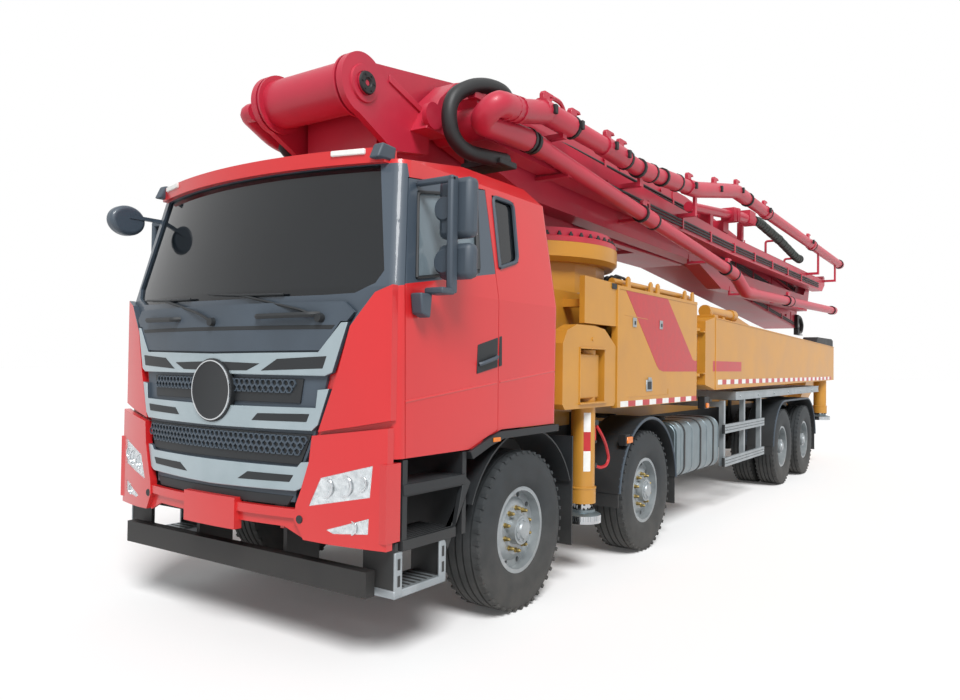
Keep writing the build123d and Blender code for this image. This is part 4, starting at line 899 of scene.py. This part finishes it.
# rear beams: end boxes, edges and jack
bothSides("beam end box", "rear_leg", "chassisBlack",
          [plate(atSide(-1.238, ((9.26, 2.074), (9.42, 2.19), (10.6, 2.196), (10.7, 2.17),
                                 (10.7, 2.058))), (0, 0.24, 0), 0.012)])
edges = [((3.98, z0), (10.715, z1), (10.715, z1 + 0.014), (3.98, z0 + 0.014))
         for z0, z1 in ((1.41, 1.46), (2.196, 2.046))]
edges.append(((3.972, 1.42), (3.986, 1.42), (3.986, 2.2), (3.972, 2.2)))
bothSides("beam edges", "rear_leg", "ochreEnamel", [sidePlate(edge, 1.243, 1.251, 0.002) for edge in edges])
# each jack: its place, the outer tube's lower end and radius, the foot's lower side and radius
jackSet = {"front": (1.06, -1.12, 0.57, 0.095, 0.42, 0.15),
           "rear": (10.23, -1.11, 0.88, 0.105, 0.76, 0.17), "bolts": 10, "footCircle": 0.084}
for leg in ("front", "rear"):
    x, y, bottom, reach, foot, footReach = jackSet[leg]
    collar = [turned([(0, reach - 0.002), (0, reach + 0.01), (0.11, reach + 0.01), (0.116, reach + 0.014),
                      (0.126, reach + 0.014), (0.13, reach - 0.002)], (x, y, bottom), "Z", 40)]
    bothSides(f"{leg} jack collar", f"{leg}_leg", "ochreEnamel", collar)
    bothSides(f"{leg} jack bolts", f"{leg}_leg", "chassisBlack",
              ringOf(jackSet["bolts"], (x, y, bottom + 0.002), reach, "Z",
                     lambda place: knob(place, -0.014, 0.009, 0.009, "Z")))
    pad = turned([(0.02, 0.069), (0.02, footReach), (0.058, footReach), (0.066, footReach - 0.012),
                  (0.082, 0.1), (0.1, 0.1), (0.1, 0.069)], (x, y, foot), "Z", 48)
    bothSides(f"{leg} jack foot", f"{leg}_jack", "tankAluminium", [pad])
    bothSides(f"{leg} foot bolts", f"{leg}_jack", "chassisBlack",
              ringOf(jackSet["bolts"], (x, y, foot + 0.1), jackSet["footCircle"], "Z",
                     lambda place: knob(place, 0.012, 0.009, 0.009, "Z")))

jackTape = {"angle": -2.308, "wide": 0.62, "reach": 0.0951,
            "whiteFilm": ((0.825, 0.984), (1.135, 1.286)), "redFilm": ((0.984, 1.135),)}


def wrapped(low, high):
    x, y = jackSet["front"][:2]
    corners = []
    inner = jackTape["reach"]
    for reach, steps in ((inner, range(-2, 3)), (inner + filmSet["thick"], range(2, -3, -1))):
        for step in steps:
            angle = jackTape["angle"] + jackTape["wide"] * step / 4
            corners.append((x + reach * math.cos(angle), y + reach * math.sin(angle), low))
    return plate(corners, (0, 0, high - low), 0)


for finish in ("whiteFilm", "redFilm"):
    bothSides(f"jack tape {finish}", "front_leg", finish,
              [wrapped(low, high) for low, high in jackTape[finish]])

# front leg ends: rims, caps and the sling hung on the left jack
yokeSet = {"left": 1.42, "right": 1.9}
for name, side in sides:
    base = yokeSet[name]
    top = base + 0.366
    rim = [sidePlate(((0.742, base - 0.046), (0.75, base - 0.05), (0.75, top + 0.004), (0.742, top)),
                     1.242, 1.252, 0.002),
           sidePlate(((0.742, top), (1.188, top), (1.188, top + 0.012), (0.742, top + 0.012)),
                     1.242, 1.256, 0.002),
           block((0.735, -1.262, base - 0.06), (1.195, -1.19, base - 0.046), 0.003),
           block((0.79, -1.215, base - 0.02), (1.14, -1.14, base + 0.33), 0.01),
           knob((0.96, -1.245, base + 0.445), -0.008, 0.014, 0.012, "Y", 16)]
    if side > 0:
        rim = swapped(rim)
    together("front leg rim " + name, "front_leg_" + name, "ochreEnamel", rim)
together("sling", "front_leg_left", "redFilm",
         [rod(((1.135, -1.18, 1.205), (1.17, -1.225, 1.117), (1.262, -1.225, 1.02), (1.318, -1.225, 0.9),
               (1.27, -1.225, 0.845), (1.18, -1.215, 0.838), (1.128, -1.188, 0.86)), 0.013, 0.06, 10),
          rod(((1.14, -1.175, 1.195), (1.128, -1.19, 1.12), (1.122, -1.192, 1.05)), 0.012, 0.03, 10)])
together("sling hooks", "front_leg_left", "chassisBlack",
         [block((1.095, -1.21, low), (end, -1.15, high), 0.006)
          for end, low, high in ((1.16, 1.18, 1.225), (1.14, 0.845, 0.88), (1.135, 1.04, 1.062))])

# pedestal: slewing ring and its bolts
ringSet = {"x": 1.95, "foot": 2.743, "top": 2.793, "bolts": 48, "boltCircle": 0.864, "skirtFoot": 2.57}
together("slewing ring", "turret", "ringEnamel",
         [turned([(0, 0.835), (0, 0.892), (0.04, 0.892), (0.05, 0.884), (0.05, 0.835)],
                 (ringSet["x"], 0, ringSet["foot"]), "Z", 96)])
boltShape = ((0, 0.001), (0, 0.019), (0.022, 0.019), (0.022, 0.011), (0.04, 0.01), (0.04, 0.001))
together("slewing bolts", "turret", "chassisBlack",
         ringOf(ringSet["bolts"], (ringSet["x"], 0, ringSet["top"]), ringSet["boltCircle"], "Z",
                lambda place: turned(boltShape, place, "Z", 6)))
together("pedestal skirt", "chassis", "ochreEnamel",
         [turned([(0, 0.775), (0, 0.86), (0.04, 0.9), (0.092, 0.9), (0.092, 0.775)],
                 (ringSet["x"], 0, ringSet["skirtFoot"]), "Z", 96)])
print("outriggers dressed")

# tanks: straps, pressed ends and caps
tankSet = {"middle": (-0.93, 0.825), "half": 0.28, "corner": 0.12, "straps": (3.105, 3.59, 4.01)}


def tankSlab(x, thick, grow, edge=0.002):
    straight = tankSet["half"] - tankSet["corner"]
    radius = tankSet["corner"] + grow
    corners = []
    for turn, (aside, up) in enumerate(((1, 1), (-1, 1), (-1, -1), (1, -1))):
        for step in range(7):
            angle = math.pi / 2 * (turn + step / 6)
            corners.append((x, tankSet["middle"][0] + aside * straight + radius * math.cos(angle),
                            tankSet["middle"][1] + up * straight + radius * math.sin(angle)))
    return plate(corners, (thick, 0, 0), edge)


bothSides("tank straps", "chassis", "hoseRubber", [tankSlab(x, 0.034, 0.006) for x in tankSet["straps"]])
bothSides("tank swages", "chassis", "tankAluminium",
          [tankSlab(*slab) for slab in (
              (3.02, 0.026, 0.004, 0.004), (3.34, 0.026, 0.004, 0.004), (3.8, 0.026, 0.004, 0.004),
              (2.888, 0.02, -0.012, 0.008), (2.904, 0.03, 0.004, 0.004), (4.176, 0.03, 0.004, 0.004),
              (4.202, 0.02, -0.012, 0.008))])
bothSides("tank caps", "chassis", "blackPolypropylene",
          [turned([(0, 0.001), (0, 0.062), (0.03, 0.062), (0.038, 0.05), (0.038, 0.001)],
                  (3.22, -0.9, 1.104), "Z", 28)])

# side guards, walkway edge and walkway ribs
guardSet = {"rails": ((0.52, 0.62), (0.9, 1.0)), "posts": (4.48, 5.28, 6.03), "grooves": (0.33, 0.67)}
walkSet = {"bolts": (5.0, 5.8, 6.6, 7.4, 8.2, 9.0), "ribs": 46, "start": 4.86, "ribPitch": 0.1,
           "ribLong": 0.03}
# the thin black strips along the rails are painted shade in their grooves; the black end caps of the rails
# are their own colour
grooves, bolts = [], []
for low, high in guardSet["rails"]:
    for share in guardSet["grooves"]:
        z = low + (high - low) * share
        grooves.append(block((4.41, -1.2262, z - 0.003), (6.09, -1.2245, z + 0.003), 0))
    for x in guardSet["posts"]:
        bolts.append(knob((x, -1.225, (low + high) / 2), -0.008, 0.011, 0.01))
grooves += [block((x0, -1.227, low - 0.002), (x0 + 0.012, -1.193, high + 0.002), 0.003)
            for low, high in guardSet["rails"] for x0 in (4.392, 6.096)]
bothSides("guard groove shade and caps", "chassis", "blackPolypropylene", grooves)
lips = [block((4.81, -1.232, z), (9.51, -1.222, z + 0.014), 0.003) for z in (1.272, 1.356)]
for x in walkSet["bolts"]:
    bolts.append(knob((x, -1.225, 1.314), -0.01, 0.016, 0.013, "Y", 12))
for count in range(walkSet["ribs"]):
    x = walkSet["start"] + count * walkSet["ribPitch"]
    lips.append(block((x, -1.18, 1.37), (x + walkSet["ribLong"], -0.66, 1.375), 0.001))
bothSides("walkway ribs", "chassis", "extrudedAluminium", lips)
bothSides("guard bolts", "chassis", "wheelSilver", bolts)

# mudguards: edge beads, flaps and markers; the beads are a rounded lip, their blue-grey colour a painted
# highlight along the black edge
guardArch = {"radius": 0.653, "axle": 0.538, "low": 0.59, "cuts": 32, "beads": (-1.24, -0.88)}
rise = math.asin((guardArch["low"] - guardArch["axle"]) / guardArch["radius"])
beads, flaps = [], []
cuts = guardArch["cuts"]
for first, last in ((2.15, 2.15), (7.15, 8.53)):
    turn = [rise + (math.pi - 2 * rise) * n / cuts for n in range(cuts + 1)]
    line = [((last if n < cuts / 2 else first) + guardArch["radius"] * math.cos(a),
             guardArch["axle"] + guardArch["radius"] * math.sin(a)) for n, a in enumerate(turn)]
    for y in guardArch["beads"]:
        beads.append(rod(atSide(y, line), 0.014, 0, 8))
    rear = last + guardArch["radius"]
    flaps.append(block((rear - 0.008, -1.232, 0.33), (rear + 0.004, -0.89, 0.612), 0.003))
    flaps.append(block((first - guardArch["radius"] - 0.004, -1.232, 0.47),
                       (first - guardArch["radius"] + 0.008, -0.89, 0.612), 0.003))
bothSides("mudguard beads painted highlight", "chassis", "greyPolypropylene", beads)
bothSides("mudflaps", "chassis", "blackPolypropylene", flaps)
markerSet = {"guard markers": ("amberAcrylic", 0.008, (((1.615, -1.262, 1.0), (1.725, -1.246, 1.056)),
                                                       ((3.8, -1.215, 1.215), (3.88, -1.195, 1.27)))),
             "marker brackets": ("chassisBlack", 0.004, (((1.6, -1.25, 0.98), (1.69, -1.18, 1.076)),
                                                         ((3.77, -1.2, 1.205), (3.91, -1.12, 1.34))))}
for name, (finish, edge, boxes) in markerSet.items():
    bothSides(name, "chassis", finish, [block(low, high, edge) for low, high in boxes])
print("tanks, guards and mudguards dressed")


# tail: hopper rim and lamps
tailSet = {"lamps": ((0.62, 0.78, "redFilm"), (0.5, 0.61, "amberAcrylic"), (0.4, 0.49, "whiteFilm"))}
together("hopper rim", "chassis", "ochreEnamel",
         [rod([(x, y, 1.478) for x, y in ((10.79, -0.812), (11.75, -0.812), (11.75, 0.812),
                                          (10.79, 0.812), (10.79, -0.812))], 0.018, 0.03, 10)]
         + [block((x, y - 0.01, 0.76), (x + 0.02, y + 0.01, 1.462), 0.003)
            for x, y in ((11.735, -0.4), (11.735, 0.4))])
for near, far, finish in tailSet["lamps"]:
    bothSides(f"tail lamp {finish}", "chassis", finish,
              [block((11.762, -far, 1.335), (11.778, -near, 1.42), 0.008)])
bothSides("tail lamp trays", "chassis", "blackPolypropylene",
          [block((11.735, -0.8, 1.315), (11.766, -0.38, 1.44), 0.008)])
print("tail dressed")


# boom: couplings, clamps and hooks along the delivery pipes
pipeSet = {
    "boom_5": {"y": -1.0, "reach": 0.076,
               "run": ((0.6, 3.59), (1.76, 3.575), (2.43, 3.545), (3.98, 3.65), (5.49, 3.924),
                       (12.68, 3.79)),
               "bands": (1.03, 2.08, 2.38, 2.68, 2.97, 3.39, 6.03, 7.04, 10.07, 12.56),
               "couplings": ((0.52, 1.0), (1.6, 2.06), (2.4, 2.66), (2.99, 3.37), (3.7, 5.9),
                             (6.88, 7.03), (9.94, 10.05), (12.58, 12.67)),
               "hooks": (0.6, 1.041, 1.697, 1.97, 3.753, 4.642, 5.525, 6.878, 9.744)},
    "boom_4": {"y": -0.9, "reach": 0.07,
               "run": ((0.575, 3.369), (2.2, 3.22), (4.29, 3.035), (5.85, 2.89), (6.32, 2.7),
                       (12.6, 2.85)),
               "bands": (0.59, 2.7, 3.01, 5.44, 5.8, 8.63, 8.9, 12.38),
               "couplings": ((0.6, 0.76), (2.72, 2.99), (5.46, 6.7), (8.65, 8.88), (12.4, 12.59)),
               "hooks": (2.76, 5.52, 8.76)},
}


def runAt(run, x):
    for (x0, z0), (x1, z1) in zip(run, run[1:]):
        if x <= x1 or (x1, z1) == run[-1]:
            return z0 + (z1 - z0) * (x - x0) / (x1 - x0)


def along(run, start, end, y):
    xs = [start] + [x for x, z in run if start < x < end] + [end]
    return [(x, y, runAt(run, x)) for x in xs]


hookSet = {"outline": ((-0.05, -0.03), (0.05, -0.03), (0.05, 0.05), (0.12, 0.052), (0.1, 0.074),
                       (-0.03, 0.074), (-0.05, 0.05)), "halfWide": 0.02, "above": 0.006}
clampSet = {"sleeveOver": 0.014, "bandOver": 0.02, "bandHalf": 0.016, "bend": 0.09}
for body, pipe in pipeSet.items():
    run, y, reach, half = pipe["run"], pipe["y"], pipe["reach"], hookSet["halfWide"]
    long = clampSet["bandHalf"]
    sleeves = [rod(along(run, a, b, y), reach + clampSet["sleeveOver"], clampSet["bend"], 24)
               for a, b in pipe["couplings"]]
    bands = [rod(along(run, x - long, x + long, y), reach + clampSet["bandOver"], 0, 24)
             for x in pipe["bands"]]
    for x in pipe["hooks"]:
        z = runAt(run, x) + reach + hookSet["above"]
        sleeves.append(plate([(x + dx, y - half, z + dz) for dx, dz in hookSet["outline"]], (0, 2 * half, 0)))
        if body == "boom_5":
            bands.append(block((x - half, y - 0.11, z - 0.11), (x + half, y - 0.08, z - 0.04)))
    together(body + " couplings", body, "boomEnamel", sleeves)
    together(body + " clamp bands", body, "chassisBlack", bands)

# the bend where section five's pipe swings over the end of section four
bendSet = {"run": ((0.54, -0.9, 3.372), (-0.12, -0.893, 3.345), (-0.12, -1.035, 3.455),
                   (0.25, -1.0, 3.5), (0.6, -1.0, 3.59)),
           "reach": 0.09, "turn": 0.088, "collars": (0.02, 0.1, 0.18),
           "handle": ((0.64, 3.655), (0.7, 3.735), (0.86, 3.735), (0.93, 3.65))}
together("pipe bend", "boom_5", "boomEnamel",
         [rod(bendSet["run"], bendSet["reach"], bendSet["turn"], 24),
          rod(atSide(-1.0, bendSet["handle"]), 0.018, 0.06, 10)]
         + [rod(((x, -1.008, 3.47 + x * 0.12), (x + 0.03, -1.006, 3.474 + x * 0.12)), 0.098, 0, 24)
            for x in bendSet["collars"]])
together("bend band", "boom_5", "chassisBlack",
         [rod([(0.5, -0.9, 3.37), (0.53, -0.9, 3.372)], 0.096, 0, 24)])

# knuckle at the front end of sections four and five: housing plate, hose sleeve and fittings
knuckleSet = {"housing": ((-0.325, 3.3), (-0.255, 3.405), (-0.175, 3.55), (0.01, 3.715), (0.276, 3.815),
                          (0.42, 3.79), (0.42, 3.5), (0.0, 3.48), (-0.06, 3.3)),
              "sleeve": ((0.27, -0.86, 3.16), (0.08, -0.84, 3.145), (-0.1, -0.76, 3.155),
                         (-0.24, -0.74, 3.24), (-0.275, -0.74, 3.4), (-0.23, -0.75, 3.52),
                         (-0.09, -0.78, 3.62), (0.09, -0.8, 3.68), (0.26, -0.81, 3.697),
                         (0.35, -0.81, 3.67), (0.38, -0.81, 3.6)),
              "sleeveReach": 0.056, "fittings": 7}
together("knuckle housing", "boom_4", "boomEnamel",
         [plate(atSide(-0.585, knuckleSet["housing"]), (0, 0.2, 0), 0.006),
          rod(((-0.25, -0.6, 3.4), (-0.25, -0.56, 3.4)), 0.095, 0, 32)])
sleeve = rod(knuckleSet["sleeve"], knuckleSet["sleeveReach"], 0.12, 16)
sleeve.name = "hose_sleeve"
sleeve.data.materials.clear()
sleeve.data.materials.append(made["hoseRubber"])
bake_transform(sleeve)
together("sleeve seat", "boom_4", "chassisBlack",
         [block((0.12, -0.92, 3.105), (0.34, -0.56, 3.15), 0.008),
          block((0.16, -0.598, 3.12), (0.3, -0.562, 3.32), 0.006)])
together("sleeve head", "boom_5", "chassisBlack",
         [block((0.3, -0.88, 3.54), (0.46, -0.79, 3.68), 0.01)])
fittings = []
for n in range(knuckleSet["fittings"]):
    x = -0.02 + 0.075 * n
    fittings.append(rod(((x, -0.79, 3.555), (x, -0.79, 3.64), (x + 0.05, -0.83, 3.665)), 0.012, 0.02, 8))
fittings.append(block((-0.06, -0.815, 3.545), (0.52, -0.745, 3.6), 0.006))
together("knuckle fittings", "boom_5", "boomEnamel", fittings)

# hose runs and clips on the sections' sides
sideRuns = {  # place across, hose radius, line of the lowest hose, and how far each hose lies above it
    "boom_5": (-0.812, 0.012, ((0.7, 3.335), (1.6, 3.305), (5.9, 3.25), (11.6, 3.25)), (0, 0.034, 0.068)),
    "boom_3": (-0.352, 0.014, ((0.6, 3.69), (2.2, 3.775), (5.5, 3.745), (11.6, 3.21)), (0, 0.038)),
    "boom_2": (-0.352, 0.014, ((1.3, 3.48), (2.2, 3.485), (5.5, 3.43), (11.7, 2.935)), (0, 0.038, 0.076)),
    "boom_1": (-0.312, 0.013, ((2.4, 3.08), (5.55, 3.08), (11.8, 2.545)), (0, 0.036)),
}
for body, (y, reach, run, rises) in sideRuns.items():
    hoses = [rod([(x, y, z + rise) for x, z in run], reach, 0.1, 8) for rise in rises]
    together(body + " hoses", body, "hoseRubber", hoses)
    clips = []
    for n in range(int(run[-1][0] - run[0][0])):  # about one clip a metre
        x = run[0][0] + 0.4 + n
        z = runAt(run, x)
        clips.append(block((x - 0.02, y - reach - 0.004, z - 0.03),
                           (x + 0.02, y + reach - 0.002, z + rises[-1] + 0.03), 0.003))
    if body != "boom_5":
        clips = paired(clips)
        other = [rod([(x, -y, z + rise) for x, z in run], reach, 0.1, 8) for rise in rises]
        together(body + " right hoses", body, "hoseRubber", other)
    together(body + " hose clips", body, "boomEnamel", clips)

# ribs along the sections: their face across, the line they follow, and how high the straps above begin
flangeSet = {
    "boom_1": (0.3, ((1.95, 3.02), (2.3, 3.02), (5.55, 3.02), (12.0, 2.47)), 0.075),
    "boom_2": (0.34, ((1.25, 3.425), (2.2, 3.43), (5.5, 3.37), (12.0, 2.854)), 0.06),
    "boom_3": (0.34, ((1.0, 3.725), (2.2, 3.725), (5.5, 3.69), (11.85, 3.145)), 0.055),
}
for body, (face, run, high) in flangeSet.items():
    ribs = []
    for (x0, z0), (x1, z1) in zip(run, run[1:]):
        ribs.append(plate([(x, -face - 0.012, z) for x, z in (
            (x0, z0 + 0.004), (x1, z1 + 0.004), (x1, z1 + 0.02), (x0, z0 + 0.02))], (0, 0.014, 0), 0.002))
    for n in range(6):
        x = run[1][0] + (run[-1][0] - run[1][0]) * (n + 0.5) / 6
        z = runAt(run, x)
        ribs.append(knob((x, -face, z + 0.15), -0.02, 0.026, 0.024, "Y", 16))
        ribs.append(block((x + 0.4, -face - 0.01, z + high), (x + 0.43, -face + 0.002, z + 0.24), 0.002))
    together(body + " seams", body, "boomEnamel", paired(ribs))

# pins: rings and caps at the joints; a row is a body, a place along and up, faces across, a radius
pinSet = (("boom_2", -0.8, 3.49, 0.44, 0.47, 0.075), ("turret", 1.6, 3.24, 0.36, 0.36, 0.06),
          ("boom_1", 12.25, 2.845, 0.24, 0.24, 0.05))
for body, x, z, face, end, reach in pinSet:
    rings, caps = [], []
    for side in (-1, 1):
        rings.append(turned([(0, reach + 0.004), (0, reach + 0.052), (side * 0.014, reach + 0.046),
                             (side * 0.014, reach + 0.004)], (x, side * face, z), "Y", 40))
        caps.append(turned([(0, 0.02), (0, reach + 0.002), (side * 0.012, reach - 0.004),
                            (side * 0.012, 0.034), (side * 0.004, 0.028), (side * 0.004, 0.02)],
                           (x, side * end, z), "Y", 40))
        caps += ringOf(6, (x, side * (end + 0.008), z), reach * 0.72, "Y",
                       lambda place: knob(place, side * 0.01, 0.008, 0.007))
    together(body + " pin rings", body, "boomEnamel", rings)
    together(body + " pin caps", body, "chassisBlack", caps)
together("drum flanges", "boom_2", "boomEnamel",
         [plate(atSide(-0.452, ((-0.56, 3.625), (-0.12, 3.47), (-0.12, 3.425), (-0.56, 3.575))),
                (0, 0.014, 0), 0.003)])
together("drum rims", "boom_3", "boomEnamel",
         [flatRing((-0.8, y, 3.49), 0.018, 0.15, 0.205, "Y", 48) for y in (-0.372, 0.354)])

# the right-hand delivery pipes of sections one, two and three
rightSet = {"reach": 0.068, "bend": 0.15, "stays": 5, "firstStay": 0.6, "ends": 0.9, "bandReach": 0.078,
            "bandHalf": 0.02}
rightRuns = {
    "boom_2": ((-0.8, 0.64, 3.49), (-0.8, 0.73, 3.49), (-0.48, 0.73, 3.33), (1.2, 0.62, 3.52),
               (5.5, 0.45, 3.53), (11.7, 0.45, 3.0)),
    "boom_3": ((-0.8, 0.482, 3.49), (-0.8, 0.56, 3.49), (-0.3, 0.56, 3.64), (0.7, 0.45, 3.83),
               (5.5, 0.45, 3.83), (11.6, 0.45, 3.29)),
    "boom_1": ((2.5, 0.4, 3.2), (5.5, 0.4, 3.17), (12.0, 0.4, 2.64)),
}
for body, run in rightRuns.items():
    face = 0.298 if body == "boom_1" else 0.338
    bendAt, aside = run[-2][:2]
    parts = [rod(run, rightSet["reach"], rightSet["bend"], 20)]
    bands = []
    flat = [(x, z) for x, y, z in run[-3:]]
    long = flat[-1][0] - flat[0][0] - rightSet["ends"]
    half = rightSet["bandHalf"]
    for n in range(rightSet["stays"]):
        x = flat[0][0] + rightSet["firstStay"] + long * n / (rightSet["stays"] - 1)
        z = runAt(flat, x)
        if x > bendAt - 0.2 or body == "boom_1":
            parts.append(block((x - 0.03, face, z - 0.02), (x + 0.03, 0.45, z + 0.02)))
        if x > bendAt:
            bands.append(rod(((x - half, aside, z), (x + half, aside, runAt(flat, x + 2 * half))),
                             rightSet["bandReach"], 0, 20))
    together(body + " right pipe", body, "boomEnamel", parts)
    together(body + " right pipe bands", body, "chassisBlack", bands)
knuckleHose = ((-0.52, 0.7, 3.42), (-0.5, 0.69, 3.3), (-0.38, 0.64, 3.2), (-0.25, 0.52, 3.2),
               (-0.2, 0.44, 3.25))
knuckleRail = ((-0.7, 0.44, 3.64), (-0.7, 0.66, 3.66), (-0.62, 0.74, 3.655), (-0.5, 0.74, 3.54))
together("knuckle hose", "boom_2", "hoseRubber", [rod(knuckleHose, 0.04, 0.08, 14)])
together("knuckle pipe rail", "boom_2", "boomEnamel",
         [rod(knuckleRail, 0.022, 0.04, 10), block((-0.56, 0.43, 3.4), (-0.5, 0.74, 3.44), 0.006)])

# section six: flange stack and wrapped end hose
endSet = {"y": -0.705, "pipe": ((4.6, 3.6), (6.3, 3.78), (7.4, 3.88)),
          "flanges": (6.15, 6.215, 6.33, 6.395),
          "hose": ((7.4, 3.88), (7.7, 3.907), (9.0, 3.805), (10.2, 3.66), (10.48, 3.66)),
          "wraps": 22, "wrapPitch": 0.135, "wrapLong": 0.105, "wrapReach": 0.071, "wrapStep": 0.003,
          "clamps": (7.42, 8.9, 10.42), "clampLong": 0.03, "clampReach": 0.079, "stays": (7.6, 9.0, 10.3)}


def aroundHose(x, long, reach):
    return rod([(place, endSet["y"], runAt(endSet["hose"], place)) for place in (x, x + long)], reach, 0, 20)


stack = []
for x in endSet["flanges"]:
    z = runAt(endSet["pipe"], x)
    stack.append(block((x, -0.8, z - 0.095), (x + 0.045, -0.61, z + 0.095), 0.008))
stack.append(rod(((6.46, endSet["y"], 3.795), (6.93, endSet["y"], 3.838)), 0.078, 0, 24))
stack.append(block((6.18, -0.64, 3.54), (6.42, -0.47, 3.7), 0.006))
wraps = [aroundHose(7.45 + n * endSet["wrapPitch"], endSet["wrapLong"],
                    endSet["wrapReach"] + endSet["wrapStep"] * (n % 2)) for n in range(endSet["wraps"])]
clamps = [aroundHose(x, endSet["clampLong"], endSet["clampReach"]) for x in endSet["clamps"]]
stays = []
for x in endSet["stays"]:
    z = runAt(endSet["hose"], x)
    stays.append(rod(((x, -0.48, 3.54), (x, -0.48, z), (x, -0.64, z)), 0.02, 0.04, 10))
for name, finish, parts in (("flange stack", "boomEnamel", stack), ("hose wraps", "greenHose", wraps),
                            ("hose clamps", "chassisBlack", clamps), ("hose stays", "boomEnamel", stays)):
    together(name, "boom_6", finish, parts)

# tail: hoses held on a tray at the end of section one
tailHose = {"run": ((11.96, 2.72), (12.24, 2.7), (12.42, 2.56), (12.33, 2.4), (12.08, 2.38),
                    (11.96, 2.5)), "aside": (0.312, 0.33, 0.348), "reach": 0.026}
together("tail hoses", "boom_1", "hoseRubber",
         [rod(atSide(-y, tailHose["run"]), tailHose["reach"], 0.08, 10) for y in tailHose["aside"]])
together("tail tray", "boom_1", "chassisBlack",
         [block((11.9, -0.366, 2.48), (12.02, -0.27, 2.74), 0.008),
          block((12.0, -0.366, 2.34), (12.36, -0.28, 2.356)),
          block((11.94, -0.366, 2.34), (12.01, -0.28, 2.5))])

# on the frame under the boom: valve bank and its hoses behind the pedestal
valveSet = {"hoses": 6, "along": (2.44, 0.032), "across": (-0.86, 0.06), "hoseReach": 0.014}
valves = [block((2.42, -0.9, 2.25), (2.63, -0.5, 2.42), 0.01)]
for n in range(valveSet["hoses"]):
    x, y = [first + pitch * n for first, pitch in (valveSet["along"], valveSet["across"])]
    valves.append(rod(((x, y, 2.4), (x, y, 2.5), (x - 0.2, y + 0.03, 2.52), (2.2, y + 0.05, 2.262)),
                      valveSet["hoseReach"], 0.05, 8))
together("valve bank", "chassis", "hoseRubber", valves)
print("boom dressed")


# floor, light and background
stageSet = {"floorSize": 240, "floorHeight": -0.002, "floorGlow": 0.05, "sunStrength": 3.4, "sunAngle": 24,
            "sunTurn": (38, -22, -20), "skyStrength": 0.3}


def whiteForCamera(tree, plain, strength):
    rays = addNode(tree, "ShaderNodeLightPath")
    seen = addNode(tree, "ShaderNodeMath", {"operation": "MAXIMUM"},
                   {}, {0: rays.outputs["Is Camera Ray"], 1: rays.outputs["Is Glossy Ray"]})
    seen = addNode(tree, "ShaderNodeMath", {"operation": "MAXIMUM"},
                   {}, {0: seen.outputs[0], 1: rays.outputs["Is Transmission Ray"]})
    return addNode(tree, "ShaderNodeMix", {"data_type": "FLOAT"}, {2: plain, 3: strength},
                   {0: seen.outputs[0]})


deselectAll()
bpy.ops.mesh.primitive_plane_add(size=stageSet["floorSize"], location=(0, 0, stageSet["floorHeight"]))
floor = bpy.context.object
floor.name = "floor"
floorFinish = bpy.data.materials.new("floorPaper")  # matt white paper; keeps the shadow
floorFinish.use_nodes = True
paper = floorFinish.node_tree.nodes["Principled BSDF"]
paper.inputs["Base Color"].default_value = linearColour("#F4F4F4")
paper.inputs["Roughness"].default_value = 0.95
paper.inputs["Emission Color"].default_value = (1, 1, 1, 1)
glow = whiteForCamera(floorFinish.node_tree, 0.0, stageSet["floorGlow"])
floorFinish.node_tree.links.new(glow.outputs[0], paper.inputs["Emission Strength"])
floor.data.materials.append(floorFinish)
floor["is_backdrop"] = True

sky = bpy.data.worlds.new("paleSky")
bpy.context.scene.world = sky
sky.use_nodes = True
background = sky.node_tree.nodes["Background"]
background.inputs["Color"].default_value = (1, 1, 1, 1)
level = whiteForCamera(sky.node_tree, stageSet["skyStrength"], 1.0)
sky.node_tree.links.new(level.outputs[0], background.inputs["Strength"])

bpy.ops.object.light_add(type="SUN", rotation=[math.radians(turn) for turn in stageSet["sunTurn"]])
sun = bpy.context.object
sun.data.energy = stageSet["sunStrength"]
sun.data.angle = math.radians(stageSet["sunAngle"])
print("floor and light set")

low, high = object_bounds()
